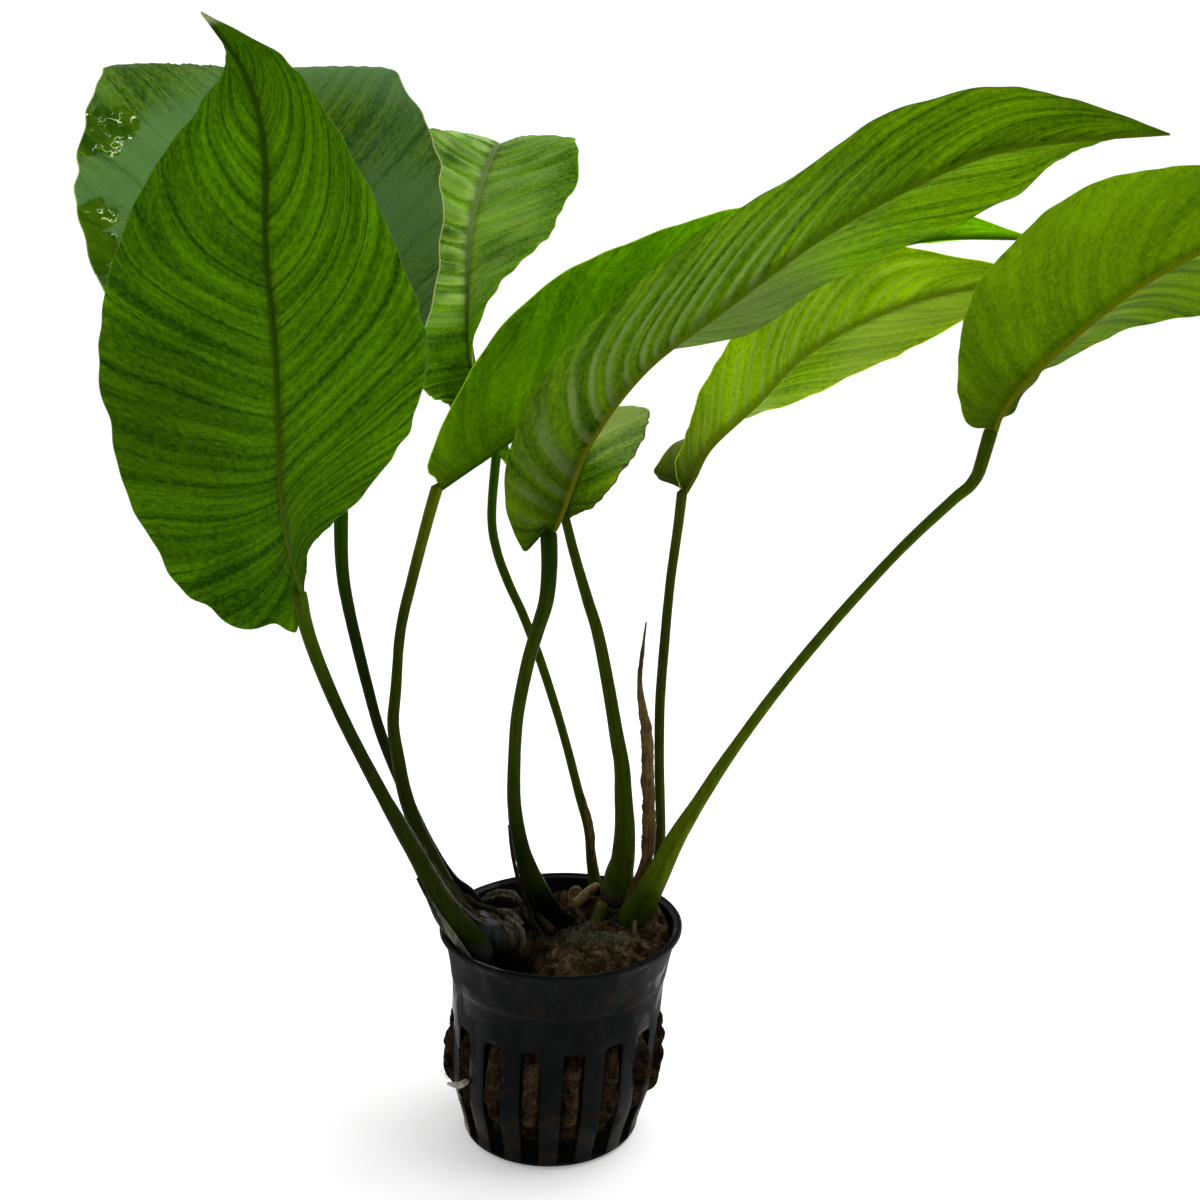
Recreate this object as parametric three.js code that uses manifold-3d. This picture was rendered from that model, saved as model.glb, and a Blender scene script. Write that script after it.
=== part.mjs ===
// A potted aquarium plant with spear-shaped leaves, standing in a slotted net pot.
// Millimetres, +Z up. The origin is the centre of the pot's underside and the front faces -Y.
import * as THREE from 'three';
import { mergeVertices } from 'three/addons/utils/BufferGeometryUtils.js';
import Module from 'manifold-3d';

const wasm = await Module();
wasm.setup();

// Driving dimensions

const GAP = 0.35;                    // air kept between pieces that touch
const POT = {
  height: 45,
  rimRadius: 26,
  waistRadius: 22.6,
  bellyRadius: 22.1,
  baseRadius: 18.4,
  wall: 1.0,
  floor: 1.2,
  lean: 2.1,                         // how far the soft pot's rim stands to the right of its base
  squeeze: 0.045,                    // how much narrower than deep the rim is pressed
  segments: 32,
};
const SLOT = { count: 16, foot: 1.0, top: 27, widthTop: 4.3, widthFoot: 3.5, reach: 14.5 };
const WOOL = { bottom: 5.6, top: 41, bulgeWidth: 3.1, bulgeFoot: 7.2, bulgeTop: 26, segments: 16 };
const BLADE = { thickness: 0.5, tipHalfWidth: 0.45, tipRidge: 0.3 };
const CLUMP_X = 0.9;                 // the clump stands this far right of the pot's middle

// Each blade hangs on three guide curves from its foot to its tip: the midrib, and the left and
// right margins as seen from above. Both margins share the midrib's first and last points.
// foot is the half width where the stalk ends, ridge the midrib's depth, crown the halves' arch.
const LEAVES = {
  front_left: {
    rows: 14, foot: 1.1, ridge: 1.3, crown: 0.08,
    rib: [[-45, -26, 118.5], [-46, -29, 125], [-46, -34, 136], [-45, -38, 149], [-44, -43, 163],
      [-44, -47, 177], [-43, -50, 192], [-45, -52, 202], [-50.8, -53, 210.6]],
    left: [[-42.7, -23, 126.6], [-36, -23, 134], [-25, -27, 147], [-21, -32, 162], [-24, -38, 176],
      [-31, -44, 192], [-38.3, -50, 203.8]],
    right: [[-47.5, -23, 110.5], [-65.6, -22, 116.2], [-74, -27, 135], [-76, -33, 155], [-72, -38, 173],
      [-60, -44, 192], [-48.2, -50, 204]],
  },
  back_left: {
    rows: 12, foot: 1.3, ridge: 1.2, crown: 0.02,
    rib: [[-42, 2, 130.5], [-46, 7, 142], [-52, 13, 160], [-57, 20, 183], [-61, 28, 205],
      [-65, 40, 218], [-70, 60, 216], [-75, 85, 202], [-78, 100, 182]],
    left: [[-53, 3, 135], [-78, 7, 151], [-94, 13, 182], [-97, 23, 202], [-96, 38, 218.5],
      [-99, 60, 215], [-95, 84, 203]],
    right: [[-37, 1, 138], [-28, 6, 156], [-23, 13, 183], [-26, 23, 204], [-36, 38, 218.5],
      [-43, 60, 215], [-56, 84, 204]],
  },
  back_middle: {
    rows: 12, foot: 0.9, ridge: 1.1, crown: 0.03,
    rib: [[-14, 30, 138.2], [-16, 33, 146], [-20, 38, 160], [-21, 44, 174], [-21, 49, 186],
      [-18, 56, 200], [-15, 64, 207], [-16, 85, 202], [-18, 106, 186]],
    left: [[-23, 32, 150], [-30, 35, 152], [-36, 37, 167], [-38, 43, 182], [-38, 51, 200],
      [-31, 60, 209.2], [-33, 84, 203]],
    right: [[-10, 34, 136], [-19, 31, 159], [-13.6, 36, 173.8], [-2.8, 43, 185.6], [3, 50, 197],
      [1.6, 60, 206.8], [0.2, 84, 203.5]],
  },
  middle: {
    rows: 12, foot: 1.2, ridge: 1.2, crown: 0.07,
    rib: [[-24, 10, 134], [-16, 12, 140], [0, 17, 150], [25, 24, 164], [50, 29, 175],
      [75, 34, 184], [102, 39, 185.2]],
    left: [[-20, 20, 138.2], [-5, 31, 169], [20, 41, 180], [50, 46, 181.5], [78, 44, 184.6]],
    right: [[-25, 6, 141], [-10, 9, 167], [16, 16, 183], [43, 23, 191], [73, 30, 192]],
  },
  front_right: {
    rows: 14, foot: 1.5, ridge: 1.7, crown: 0.07,
    rib: [[-1, -12, 128.2], [1, -13, 132], [6.5, -15, 145.4], [16.4, -17, 158.5], [30, -19, 169],
      [46, -21, 181], [60, -23, 189], [74, -25, 195], [88, -27, 197], [103, -28, 198]],
    left: [[0, -4, 133], [5, 5, 147], [19, 7, 160], [35.5, 6, 164.2], [52, 2, 174], [68, -5, 182],
      [81.4, -14, 188], [90.7, -22, 196.7]],
    right: [[-6.6, -13, 125], [-8, -17, 139], [-1, -21, 158], [19, -24, 177], [35.5, -27, 187.3],
      [53, -28, 199], [72, -29, 205], [87, -29, 203]],
  },
  short: {
    rows: 9, foot: 0.9, ridge: 0.9, crown: 0.06,
    rib: [[1.7, 8, 127.9], [2.6, 10, 131.5], [5, 15, 138], [7, 21, 145], [9, 30, 148], [11, 44, 143],
      [10, 56, 133]],
    left: [[-3, 8, 130], [-4, 12, 139], [-2, 18, 146], [1, 28, 147], [3, 43, 143]],
    right: [[7.4, 6, 130.7], [13, 10, 138], [17.5, 16, 145.2], [17, 26, 148], [16, 43, 144]],
  },
  back_right: {
    rows: 11, foot: 1.0, ridge: 1.1, crown: 0.07,
    rib: [[25.3, 12, 133.2], [27, 12, 136], [30.6, 12, 142.4], [40, 13, 151], [50, 14, 161],
      [65, 16, 169], [82, 18, 174], [105, 22, 176]],
    left: [[21.5, 20, 135], [29, 27, 144], [43, 26, 148], [54, 22, 153], [69.3, 20, 160.4],
      [84.3, 20, 168.3]],
    right: [[24, 8, 139], [27, 8, 147], [31, 8, 157], [40, 9, 171], [57, 11, 182], [80, 16, 180]],
  },
  far_right: {
    rows: 12, foot: 1.1, ridge: 1.4, crown: 0.07,
    rib: [[84, 0, 147], [85, -2, 151], [90, -4, 158], [99, -6, 167], [109, -8, 175],
      [122, -10, 182], [136, -12, 185], [151, -14, 186]],
    left: [[90.4, 6, 150.2], [98, 12, 158], [109.2, 14, 163.3], [120.2, 12, 167.4], [133, 8, 170],
      [144, -1, 176]],
    right: [[77.2, -6, 149.2], [74.5, -9, 162], [78, -12, 175], [91.4, -14, 188.4], [108, -14, 193.5],
      [127, -13, 194]],
  },
};

// A stalk runs from the rootstock up to the foot of its blade, with its radii spread along it.
// The wing is the sheath that the stalk carries beside its lower end.
const STALKS = {
  front_left: {
    path: [[-15.6, -6.4, 40.8], [-18.5, -8.4, 46.3], [-21.3, -9.7, 50.5], [-23, -10.9, 54.6],
      [-26, -13.3, 62.8], [-29.4, -15.5, 70.6], [-37, -20.3, 89.2], [-41.2, -23, 101], [-44, -25, 111],
      [-45, -26, 118]],
    radii: [3.0, 2.3, 1.65, 1.35, 1.15, 1.1, 1.1, 1.15, 1.2],
    wing: { path: [[-17.6, -8.6, 47.5], [-21.4, -11, 56], [-26, -14, 67], [-30, -16, 75.5]], width: 1.6 },
    steps: 10,
  },
  back_left: {
    path: [[-17, 8, 44], [-18.8, 8, 47.1], [-22.4, 8, 50.5], [-26.8, 8, 58.2], [-30.2, 8, 65.8],
      [-33.2, 8, 73.3], [-36.2, 7.5, 82.7], [-38.3, 6.2, 92.2], [-41.2, 4, 108], [-42.2, 2, 118],
      [-42.5, 2, 129.6]],
    radii: [1.7, 1.15, 1.05, 1.05, 1.0, 1.05, 1.1, 1.2, 1.35],
    steps: 10,
  },
  back_middle: {
    path: [[8.6, 16, 44], [7.8, 16, 49], [7.3, 16, 52.5], [6.5, 16, 59.5], [4.7, 16, 66.4],
      [1.2, 17.4, 79.6], [-3.3, 19.6, 93.6], [-7.5, 22.1, 104.3], [-11, 24.1, 111.5], [-13.7, 25.9, 118.6],
      [-14.8, 27.7, 125.9], [-14, 30, 137.6]],
    radii: [1.4, 0.9, 0.9, 0.85, 0.9, 0.9, 0.9, 0.9, 0.95],
    wing: { path: [[8.2, 15.4, 48], [7.9, 15.4, 53], [7.3, 15.4, 59], [5.6, 15.5, 66]], width: 0.9 },
    steps: 11,
  },
  middle: {
    path: [[-17, 2.5, 43.4], [-18.6, 2, 45.4], [-21.4, 1.1, 49.6], [-24.9, 0, 57.5], [-28, -0.5, 65.1],
      [-30.1, -1, 72.6], [-31.3, -0.5, 79.7], [-32.2, -0.1, 86.8], [-31.8, 1.6, 93.5], [-31, 4, 105],
      [-28.9, 7, 115], [-25.9, 9, 127], [-24.5, 9.9, 133.2]],
    radii: [2.0, 1.6, 1.45, 1.3, 1.1, 0.95, 1.0, 1.05, 1.15],
    wing: { path: [[-29.8, -1.6, 65.5], [-32, -2, 72], [-33.3, -1.5, 80], [-34.5, -0.8, 88.8]], width: 1.3 },
    steps: 11,
  },
  front_right: {
    path: [[2.6, 6.6, 38.6], [-0.8, 4.7, 43.2], [-2.6, 3.5, 47.2], [-5.4, 1.6, 54.7], [-7.2, -0.4, 62.1],
      [-8.1, -2.4, 69.3], [-8.2, -4.4, 76.5], [-7.4, -7.3, 89.7], [-5.4, -9.7, 100.7], [-3.5, -10.6, 107.8],
      [-1.5, -11.5, 114.6], [-0.9, -12, 121.3], [-1, -12, 127.3]],
    radii: [3.1, 2.4, 1.6, 1.3, 1.15, 1.15, 1.2, 1.35, 1.5],
    steps: 13,
  },
  short: {
    path: [[12.6, 12, 43], [13.4, 11.5, 50.9], [14.1, 11.3, 54.4], [14.4, 11, 61.4], [14, 11, 68.2],
      [13.6, 10.6, 75.1], [12.4, 10.1, 81.9], [10.6, 10, 92.4], [8.4, 9.2, 103.5], [6.2, 9, 110.8],
      [3.6, 8.8, 119.7], [1.7, 8, 127.2]],
    radii: [3.3, 2.4, 1.9, 1.55, 1.3, 1.2, 1.1, 0.95, 0.85],
    wing: { path: [[14.8, 10.4, 51], [15.6, 10.3, 58], [15.2, 10.4, 66]], width: 1.5 },
    steps: 11,
  },
  back_right: {
    path: [[18.6, 10.4, 42.6], [20.4, 10.7, 47.9], [21.2, 10.9, 51.2], [21.8, 11, 56.3], [22, 11, 61.5],
      [21.5, 11, 75], [21.4, 11, 88], [22, 11, 99.6], [23.1, 11.7, 114], [24.4, 12, 124.7], [25.2, 12, 132.4]],
    radii: [1.5, 1.0, 0.95, 0.95, 0.95, 0.95, 0.9, 0.9, 1.0],
    steps: 9,
  },
  far_right: {
    path: [[15.1, 7, 39.9], [18, 6.1, 46.2], [21.4, 5.1, 53.5], [24.9, 5, 61.1], [29, 4.2, 68.7],
      [35.2, 4, 79.5], [44.4, 2.6, 93.9], [55.2, 1.2, 108.6], [67.4, 0.1, 123.2], [77.6, 0, 133.3],
      [80.1, 0, 135.4], [81.8, 0, 137.9], [82.6, 0, 140.7], [83.9, 0, 146.3]],
    radii: [3.5, 2.2, 1.35, 1.05, 1.0, 0.95, 0.9, 1.0, 1.3],
    steps: 16,
  },
};

const ROOTSTOCKS = {
  left: {
    path: [[-17, 8, 41.5], [-15.5, 2, 42], [-12.5, -2.6, 42.4], [-7, -2.6, 42.8]],
    radii: [2.6, 3.2, 3.4, 3.3],
  },
  middle: { path: [[-7.5, 11.5, 41.8], [-3, 9.5, 41.2], [3, 7.5, 40]], radii: [2.2, 2.8, 2.9] },
  right: { path: [[9, 16, 42], [13, 12, 41.8], [16.5, 7.5, 40.8]], radii: [2.3, 3.3, 2.9] },
};

// Roots, and the short stubs of leaves that were cut away.
const SPROUTS = {
  thick_pale_root: {
    path: [[2.6, 12.4, 42.6], [4.9, 13, 44], [6.9, 13.4, 45.9], [9.1, 13.6, 47.5]],
    radii: [1.0, 1.1, 0.9],
  },
  curled_root: {
    path: [[3.4, 10.9, 43.4], [2.9, 10.7, 46.2], [3.6, 10.7, 47.6], [4.7, 10.8, 47.6]],
    radii: [0.5, 0.5, 0.4],
  },
  yellow_stub: { path: [[7.7, 6.8, 39.3], [8.4, 7.4, 41.4], [9.5, 8.2, 43.9], [9.8, 8.8, 45.7]], radii: [1.5, 1.2] },
  brown_stub: { path: [[-0.4, 0.7, 42], [-2.9, 0.8, 45], [-3.9, 1, 46.1]], radii: [1.0, 0.6] },
  root_tip: { path: [[15.9, 2.2, 39.4], [16.2, 2.6, 40.9], [16.7, 3.4, 44]], radii: [0.75, 0.65, 0.35] },
  slot_root: {
    path: [[-16.6, -11.4, 15.8], [-18.4, -13.4, 15.5], [-19.7, -12.6, 14.9], [-21.6, -10.6, 14.1]],
    radii: [0.7, 0.7, 0.25],
  },
};

// Dead, papery leaf sheaths: thin curved strips, each given by its middle line and half widths.
const DRY_SHEATHS = {
  tall: {
    path: [[15.1, 8.4, 45.9], [17.3, 7.9, 52.3], [18.9, 7, 62.9], [19.2, 6.8, 69.7], [18.6, 6.4, 83],
      [17.9, 6.4, 84.6], [17.3, 6.2, 89.8], [17, 6, 95.3], [18.1, 6, 107]],
    widths: [0.9, 1.4, 1.45, 1.3, 1.15, 0.8, 0.55, 0.5, 0.15],
  },
  outer: {
    path: [[-16, -10.6, 42.6], [-18.2, -11, 45.6], [-21.4, -12, 49.6], [-24.2, -12.8, 54.6], [-26.6, -13.6, 59.5]],
    widths: [1.1, 1.1, 0.9, 0.3],
  },
  inner: { path: [[-17.8, -3.5, 47.6], [-22.8, -4.7, 55.8], [-28.7, -7, 67.4]], widths: [1.1, 1.0, 0.3] },
  slim: { path: [[-4.8, 0.8, 46.4], [-7, -0.6, 52.4], [-8.8, -3.4, 66.6]], widths: [1.0, 0.9, 0.3] },
};

// Lumps and hollows of the wool's top: centre x, y, radius and height.
const WOOL_LUMPS = [[3, -13, 10, 1.6], [8, -3, 9, 1.2], [4, 18, 7, 3.0], [19, -4, 7, 1.4],
  [-3, -17, 6, 1.4], [-12, -13, 7, -6.0], [-10, 15, 6, -2.0], [20, 9, 6, 2.4]];

// Finishes

const finish = (color, roughness) => new THREE.MeshStandardMaterial({ color, roughness, metalness: 0 });
const PLASTIC = finish('#24282a', 0.5);
const MINERAL_WOOL = finish('#4a3c28', 1.0);
const LEAF_GREEN = finish('#2f6412', 0.45);
const STALK_GREEN = finish('#3c5a14', 0.5);
const BARK = finish('#3d362e', 0.8);
const STRAW = finish('#7c6038', 0.85);
const ROOT_CREAM = finish('#c4b88a', 0.7);

// Shaping helpers

const vector = ([x, y, z]) => new THREE.Vector3(x + CLUMP_X, y, z);
const smoothCurve = (points) => new THREE.CatmullRomCurve3(points, false, 'catmullrom', 0.5);

/** A value read between evenly spaced entries of a list, with t from 0 to 1. */
function blend(list, t) {
  const place = t * (list.length - 1);
  const i = Math.min(Math.floor(place), list.length - 2);
  return THREE.MathUtils.lerp(list[i], list[i + 1], place - i);
}

/** Moves every corner of a geometry. */
function reshape(geometry, move) {
  const position = geometry.attributes.position;
  for (let i = 0; i < position.count; i++) {
    const p = move(new THREE.Vector3().fromBufferAttribute(position, i));
    position.setXYZ(i, p.x, p.y, p.z);
  }
  return geometry;
}

function toSolid(geometry) {
  const bare = geometry.clone();
  bare.deleteAttribute('normal');
  bare.deleteAttribute('uv');
  const merged = mergeVertices(bare, 1e-4);
  return new wasm.Manifold(new wasm.Mesh({
    numProp: 3,
    vertProperties: new Float32Array(merged.attributes.position.array),
    triVerts: new Uint32Array(merged.index.array),
  }));
}

function toGeometry(solid) {
  const mesh = solid.getMesh();
  const geometry = new THREE.BufferGeometry();
  geometry.setAttribute('position', new THREE.BufferAttribute(mesh.vertProperties, 3));
  geometry.setIndex(new THREE.BufferAttribute(mesh.triVerts, 1));
  return geometry;
}

/** A round bar along a path, with its radii spread along it. flat squeezes it to a strip. */
function bar(path, radii, { sides = 8, steps = 12, swell = 0, flat = 1 } = {}) {
  const curve = smoothCurve(path.map(vector));
  const round = new THREE.CylinderGeometry(1, 1, 1, sides, steps);
  return toSolid(reshape(round, (p) => {
    const t = p.y + 0.5;
    const centre = curve.getPointAt(t);
    const along = curve.getTangentAt(t);
    const wide = new THREE.Vector3(along.z, 0, -along.x).normalize();
    const deep = new THREE.Vector3().crossVectors(wide, along);
    const end = Math.abs(p.y) > 0.499 ? Math.sign(p.y) : 0;
    return centre
      .addScaledVector(along, end * swell)
      .addScaledVector(wide, p.x * (blend(radii, t) + swell))
      .addScaledVector(deep, p.z * (blend(radii, t) * flat + swell));
  }));
}

/** A point beside a curve's end, set off square to the curve towards a guide point. */
function besideEnd(end, next, towards, distance) {
  const along = next.clone().sub(end).normalize();
  const out = towards.clone().sub(end);
  out.addScaledVector(along, -out.dot(along));
  return end.clone().addScaledVector(out.normalize(), distance);
}

/** A leaf blade: a box bent over its guide curves, creased at the midrib, which stands out below. */
function blade({ rows, foot, ridge, crown, rib, left, right }) {
  const ribPoints = rib.map(vector);
  const last = ribPoints.length - 1;
  const margin = (points) => smoothCurve([
    besideEnd(ribPoints[0], ribPoints[1], vector(points[0]), foot),
    ...points.map(vector),
    besideEnd(ribPoints[last], ribPoints[last - 1], vector(points.at(-1)), BLADE.tipHalfWidth),
  ]);
  const ribCurve = smoothCurve(ribPoints);
  const margins = { '-1': margin(left), 1: margin(right) };
  const upwards = (t, side) => {
    const across = margins[side].getPoint(t).sub(ribCurve.getPoint(t)).multiplyScalar(side);
    return across.cross(ribCurve.getTangent(t)).normalize();
  };
  const columns = [1, 0.5, 'ridge', 0, 'ridge', 0.5, 1];
  const middle = (columns.length - 1) / 2;
  const box = new THREE.BoxGeometry(2 * middle, 1, 1, 2 * middle, rows, 1);
  return toSolid(reshape(box, (p) => {
    const column = Math.round(p.x + middle);
    const onRib = column === middle;
    const side = column < middle ? -1 : 1;
    const t = p.y + 0.5;
    const depth = THREE.MathUtils.lerp(ridge, BLADE.tipRidge, t);
    const centre = ribCurve.getPoint(t);
    const across = margins[side].getPoint(t).sub(centre);
    const width = across.length();
    const out = columns[column] === 'ridge' ? Math.min(0.3, depth / width) : columns[column];
    const normal = upwards(t, side);
    if (onRib) normal.add(upwards(t, -side)).normalize();
    const arch = 4 * out * (1 - out) * crown * width;
    const skin = Math.sign(p.z) * BLADE.thickness / 2;
    const below = onRib && p.z < 0 ? depth : 0;
    return centre.addScaledVector(across, out).addScaledVector(normal, arch + skin - below);
  }));
}

// Net pot: a turned cup with a ring of slots, pressed a little out of round by what it holds

/** The soft pot's lean and squeeze, shared by the pot and the wool in it. */
function settle(p) {
  const up = p.z / POT.height;
  p.x = p.x * (1 - POT.squeeze * up * up) + POT.lean * up;
  return p;
}

function potOutline() {
  const { height, rimRadius, waistRadius, bellyRadius, baseRadius, wall, floor } = POT;
  const outer = [[baseRadius - 0.8, 0], [baseRadius, 1.2], [bellyRadius - 0.7, 11.5], [bellyRadius, 26.5],
    [waistRadius, 34.4], [waistRadius + 0.3, 34.8], [waistRadius + 1.6, 40.6], [rimRadius - 0.4, 43.8],
    [rimRadius, height]];
  const inner = [[rimRadius - 1.3, height], [waistRadius + 0.5, 40], [waistRadius - wall, 34],
    [bellyRadius - 0.7 - wall, 11.5], [baseRadius - wall - 0.4, floor]];
  return [[0, 0], ...outer, ...inner, [0, floor]];
}

/** Turns a profile of radius and height about the upright axis. */
function turned(outline, segments) {
  const points = outline.map(([r, z]) => new THREE.Vector2(r, z));
  return new THREE.LatheGeometry(points, segments).rotateX(Math.PI / 2);
}

/** Angle of a slot's middle, counted from the front of the pot. */
const slotAngle = (i) => (i + 0.5) * (2 * Math.PI / SLOT.count);

function slotCutter(i) {
  const top = SLOT.widthTop / 2;
  const foot = SLOT.widthFoot / 2;
  const face = new THREE.Shape([[-foot, SLOT.foot], [foot, SLOT.foot], [top, SLOT.top - 0.8],
    [top - 0.8, SLOT.top], [0.8 - top, SLOT.top], [-top, SLOT.top - 0.8],
  ].map(([x, z]) => new THREE.Vector2(x, z)));
  const cutter = new THREE.ExtrudeGeometry(face, { depth: 12, bevelEnabled: false });
  cutter.rotateX(Math.PI / 2).translate(0, -SLOT.reach, 0).rotateZ(slotAngle(i));
  return toSolid(cutter);
}

function netPot() {
  let pot = toSolid(turned(potOutline(), POT.segments));
  for (let i = 0; i < SLOT.count; i++) pot = pot.subtract(slotCutter(i));
  return toSolid(reshape(toGeometry(pot), settle));
}

// Rock wool: a plug that fills the pot, pressed out through the slots, with a lumpy top

function woolTop(x, y) {
  return WOOL_LUMPS.reduce((sum, [cx, cy, radius, height]) => {
    const near = Math.hypot(x - cx, y - cy) / radius;
    return sum + height * Math.exp(-near * near * 1.6);
  }, WOOL.top);
}

function woolPlug() {
  const outline = [[0, WOOL.bottom], [17.4, WOOL.bottom], [20, 14.5], [20.9, 33.8],
    [22, 38.2], [20.5, WOOL.top], [15, WOOL.top], [8, WOOL.top], [0, WOOL.top]];
  return toSolid(reshape(turned(outline, WOOL.segments), (p) => {
    if (p.z > WOOL.top - 0.01) p.setZ(woolTop(p.x, p.y));
    return settle(p);
  }));
}

/** One slot's swelling of wool, fullest at mid height. The side slots bulge the most. */
function woolBulge(i) {
  const angle = slotAngle(i);
  const deep = 17;
  const proud = POT.bellyRadius + 0.4 + 0.9 * Math.abs(Math.sin(angle));
  const tall = WOOL.bulgeTop - WOOL.bulgeFoot;
  const pad = new THREE.BoxGeometry(WOOL.bulgeWidth, 1, tall, 1, 1, 2);
  reshape(pad, (p) => {
    const up = p.z / tall + 0.5;
    const fall = 3.4 * (1 - Math.sin(Math.PI * (0.2 + 0.66 * up)));
    p.y = p.y < 0 ? fall - proud : -deep;
    p.z += (WOOL.bulgeTop + WOOL.bulgeFoot) / 2;
    return p;
  });
  return toSolid(reshape(pad.rotateZ(angle), settle));
}

function rockWool() {
  let wool = woolPlug();
  for (let i = 0; i < SLOT.count; i++) wool = wool.add(woolBulge(i));
  return wool;
}

// Plant: each piece is shaped as it is, and again a GAP fatter to cut its neighbours clear of it

const rootstock = ({ path, radii }, swell = 0) => bar(path, radii, { steps: 5, swell });
const sprout = ({ path, radii }, swell = 0) => bar(path, radii, { sides: 6, steps: 4, swell });

function stalk({ path, radii, steps, wing }, swell = 0) {
  const stem = bar(path, radii, { sides: 7, steps, swell });
  if (!wing) return stem;
  const widths = [wing.width, wing.width * 0.8, wing.width * 0.5, 0.25];
  return stem.add(bar(wing.path, widths, { sides: 6, steps: 4, swell, flat: 0.45 }));
}

function drySheath({ path, widths }, swell = 0) {
  return bar(path, widths, { sides: 6, steps: path.length + 1, swell, flat: 0.42 });
}

// Assembly: pieces are fitted in this order, and each is cut clear of all that came before it

const plant = new THREE.Group();
const fitted = [];

function place(name, solid, material) {
  const mesh = new THREE.Mesh(toGeometry(solid), material);
  mesh.name = name;
  plant.add(mesh);
}

const cutClear = (solid) => fitted.reduce((rest, neighbour) => rest.subtract(neighbour), solid);

/** Places a whole family of pieces, and keeps their fatter forms to cut what follows. */
function placeAll(specs, nameOf, make, material) {
  for (const [key, spec] of Object.entries(specs)) {
    place(nameOf(key), cutClear(make(spec)), material);
    fitted.push(make(spec, GAP));
  }
}

place('net_pot', netPot(), PLASTIC);
placeAll(ROOTSTOCKS, (key) => `${key}_rootstock`, rootstock, BARK);
placeAll(STALKS, (key) => `${key}_stalk`, stalk, STALK_GREEN);
placeAll(DRY_SHEATHS, (key) => `${key}_dry_sheath`, drySheath, STRAW);
placeAll(SPROUTS, (key) => key, sprout, ROOT_CREAM);
place('rock_wool', cutClear(rockWool()), MINERAL_WOOL);
for (const [key, spec] of Object.entries(LEAVES)) place(`${key}_leaf`, blade(spec), LEAF_GREEN);

export default plant;
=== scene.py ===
# %% [markdown]
# # A potted aquarium plant
# This lesson dresses a plain frame of a broad-leaved plant: eight spear-shaped blades on long stalks, growing
# out of rock wool in a slotted net pot. The frame gives every piece its place, in metres, with +Z up. Each
# fine piece made here stands for one piece of the frame, and lies in the same space.

# %% Load the frame
import math
import bpy
import numpy as np
from mathutils import Matrix, Vector, noise


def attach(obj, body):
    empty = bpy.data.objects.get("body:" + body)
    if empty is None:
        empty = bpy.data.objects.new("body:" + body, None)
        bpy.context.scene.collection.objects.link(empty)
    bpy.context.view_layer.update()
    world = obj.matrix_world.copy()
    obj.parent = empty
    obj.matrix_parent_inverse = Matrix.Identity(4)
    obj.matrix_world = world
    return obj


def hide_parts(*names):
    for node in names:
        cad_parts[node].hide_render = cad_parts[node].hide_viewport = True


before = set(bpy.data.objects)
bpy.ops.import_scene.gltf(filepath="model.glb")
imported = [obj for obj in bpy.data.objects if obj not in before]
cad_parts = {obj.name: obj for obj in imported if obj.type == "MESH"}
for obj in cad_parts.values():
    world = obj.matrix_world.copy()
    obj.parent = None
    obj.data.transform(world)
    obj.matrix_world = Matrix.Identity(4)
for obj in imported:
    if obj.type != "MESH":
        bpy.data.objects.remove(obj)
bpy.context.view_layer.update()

print("frame pieces:", len(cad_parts))

# %% [markdown]
# ## Camera, floor and light
# The plant was photographed from a little above the pot, against a bright white backdrop that shines through
# the blades. A lamp close to the camera would flatten them, so the light comes from an even white sky that is
# bright behind the plant and dimmer behind the camera, with one large soft panel above.

# %% Camera
CAMERA_PLACE = (0.0096, -0.272, 0.165)     # metres, from the middle of the pot's underside
CAMERA_TILT, CAMERA_ROLL = 79.1, 0.5       # degrees
scene = bpy.context.scene
lens = bpy.data.cameras.new("camera")
lens.lens, lens.sensor_width = 42, 36
camera = bpy.data.objects.new("camera", lens)
scene.collection.objects.link(camera)
camera.matrix_world = (Matrix.Translation(CAMERA_PLACE) @ Matrix.Rotation(math.radians(CAMERA_TILT), 4, "X")
                       @ Matrix.Rotation(math.radians(CAMERA_ROLL), 4, "Z"))
scene.camera = camera
print("camera stands", round(-CAMERA_PLACE[1] * 1000), "mm in front of the pot")

# %% [markdown]
# A shader is made of nodes joined by wires. Written out node by node, its pattern is hard to see. So a small
# class lets a wire be added, taken away and multiplied like a number, and each of the few functions after it
# makes one kind of node.

# %% Shader helpers
class Wire:
    """A value or colour inside a shader. It can stand in sums like a number."""
    def __init__(self, socket):
        self.socket, self.tree = socket, socket.id_data

    def __add__(self, other):
        return maths("ADD", self, other)

    def __sub__(self, other):
        return maths("SUBTRACT", self, other)

    def __rsub__(self, other):
        return maths("SUBTRACT", other, self)

    def __mul__(self, other):
        return maths("MULTIPLY", self, other)

    def __abs__(self):
        return maths("ABSOLUTE", self)


def feed(inputs, feeds):
    """Gives sockets a number, three numbers or a wire."""
    for key, value in feeds.items():
        socket = inputs[key]
        if isinstance(value, Wire):
            value.tree.links.new(value.socket, socket)
        else:
            socket.default_value = (*value, 1) if socket.type == "RGBA" else value


def node(tree, kind, feeds, output=0, **settings):
    """Adds a shader node and returns a wire from one of its outputs."""
    new = tree.nodes.new("ShaderNode" + kind)
    for key, value in settings.items():
        setattr(new, key, value)
    feed(new.inputs, feeds)
    return Wire(new.outputs[output])


def maths(operation, a, b=0.0, clamp=False):
    tree = (a if isinstance(a, Wire) else b).tree
    return node(tree, "Math", {0: a, 1: b}, operation=operation, use_clamp=clamp)


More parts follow.
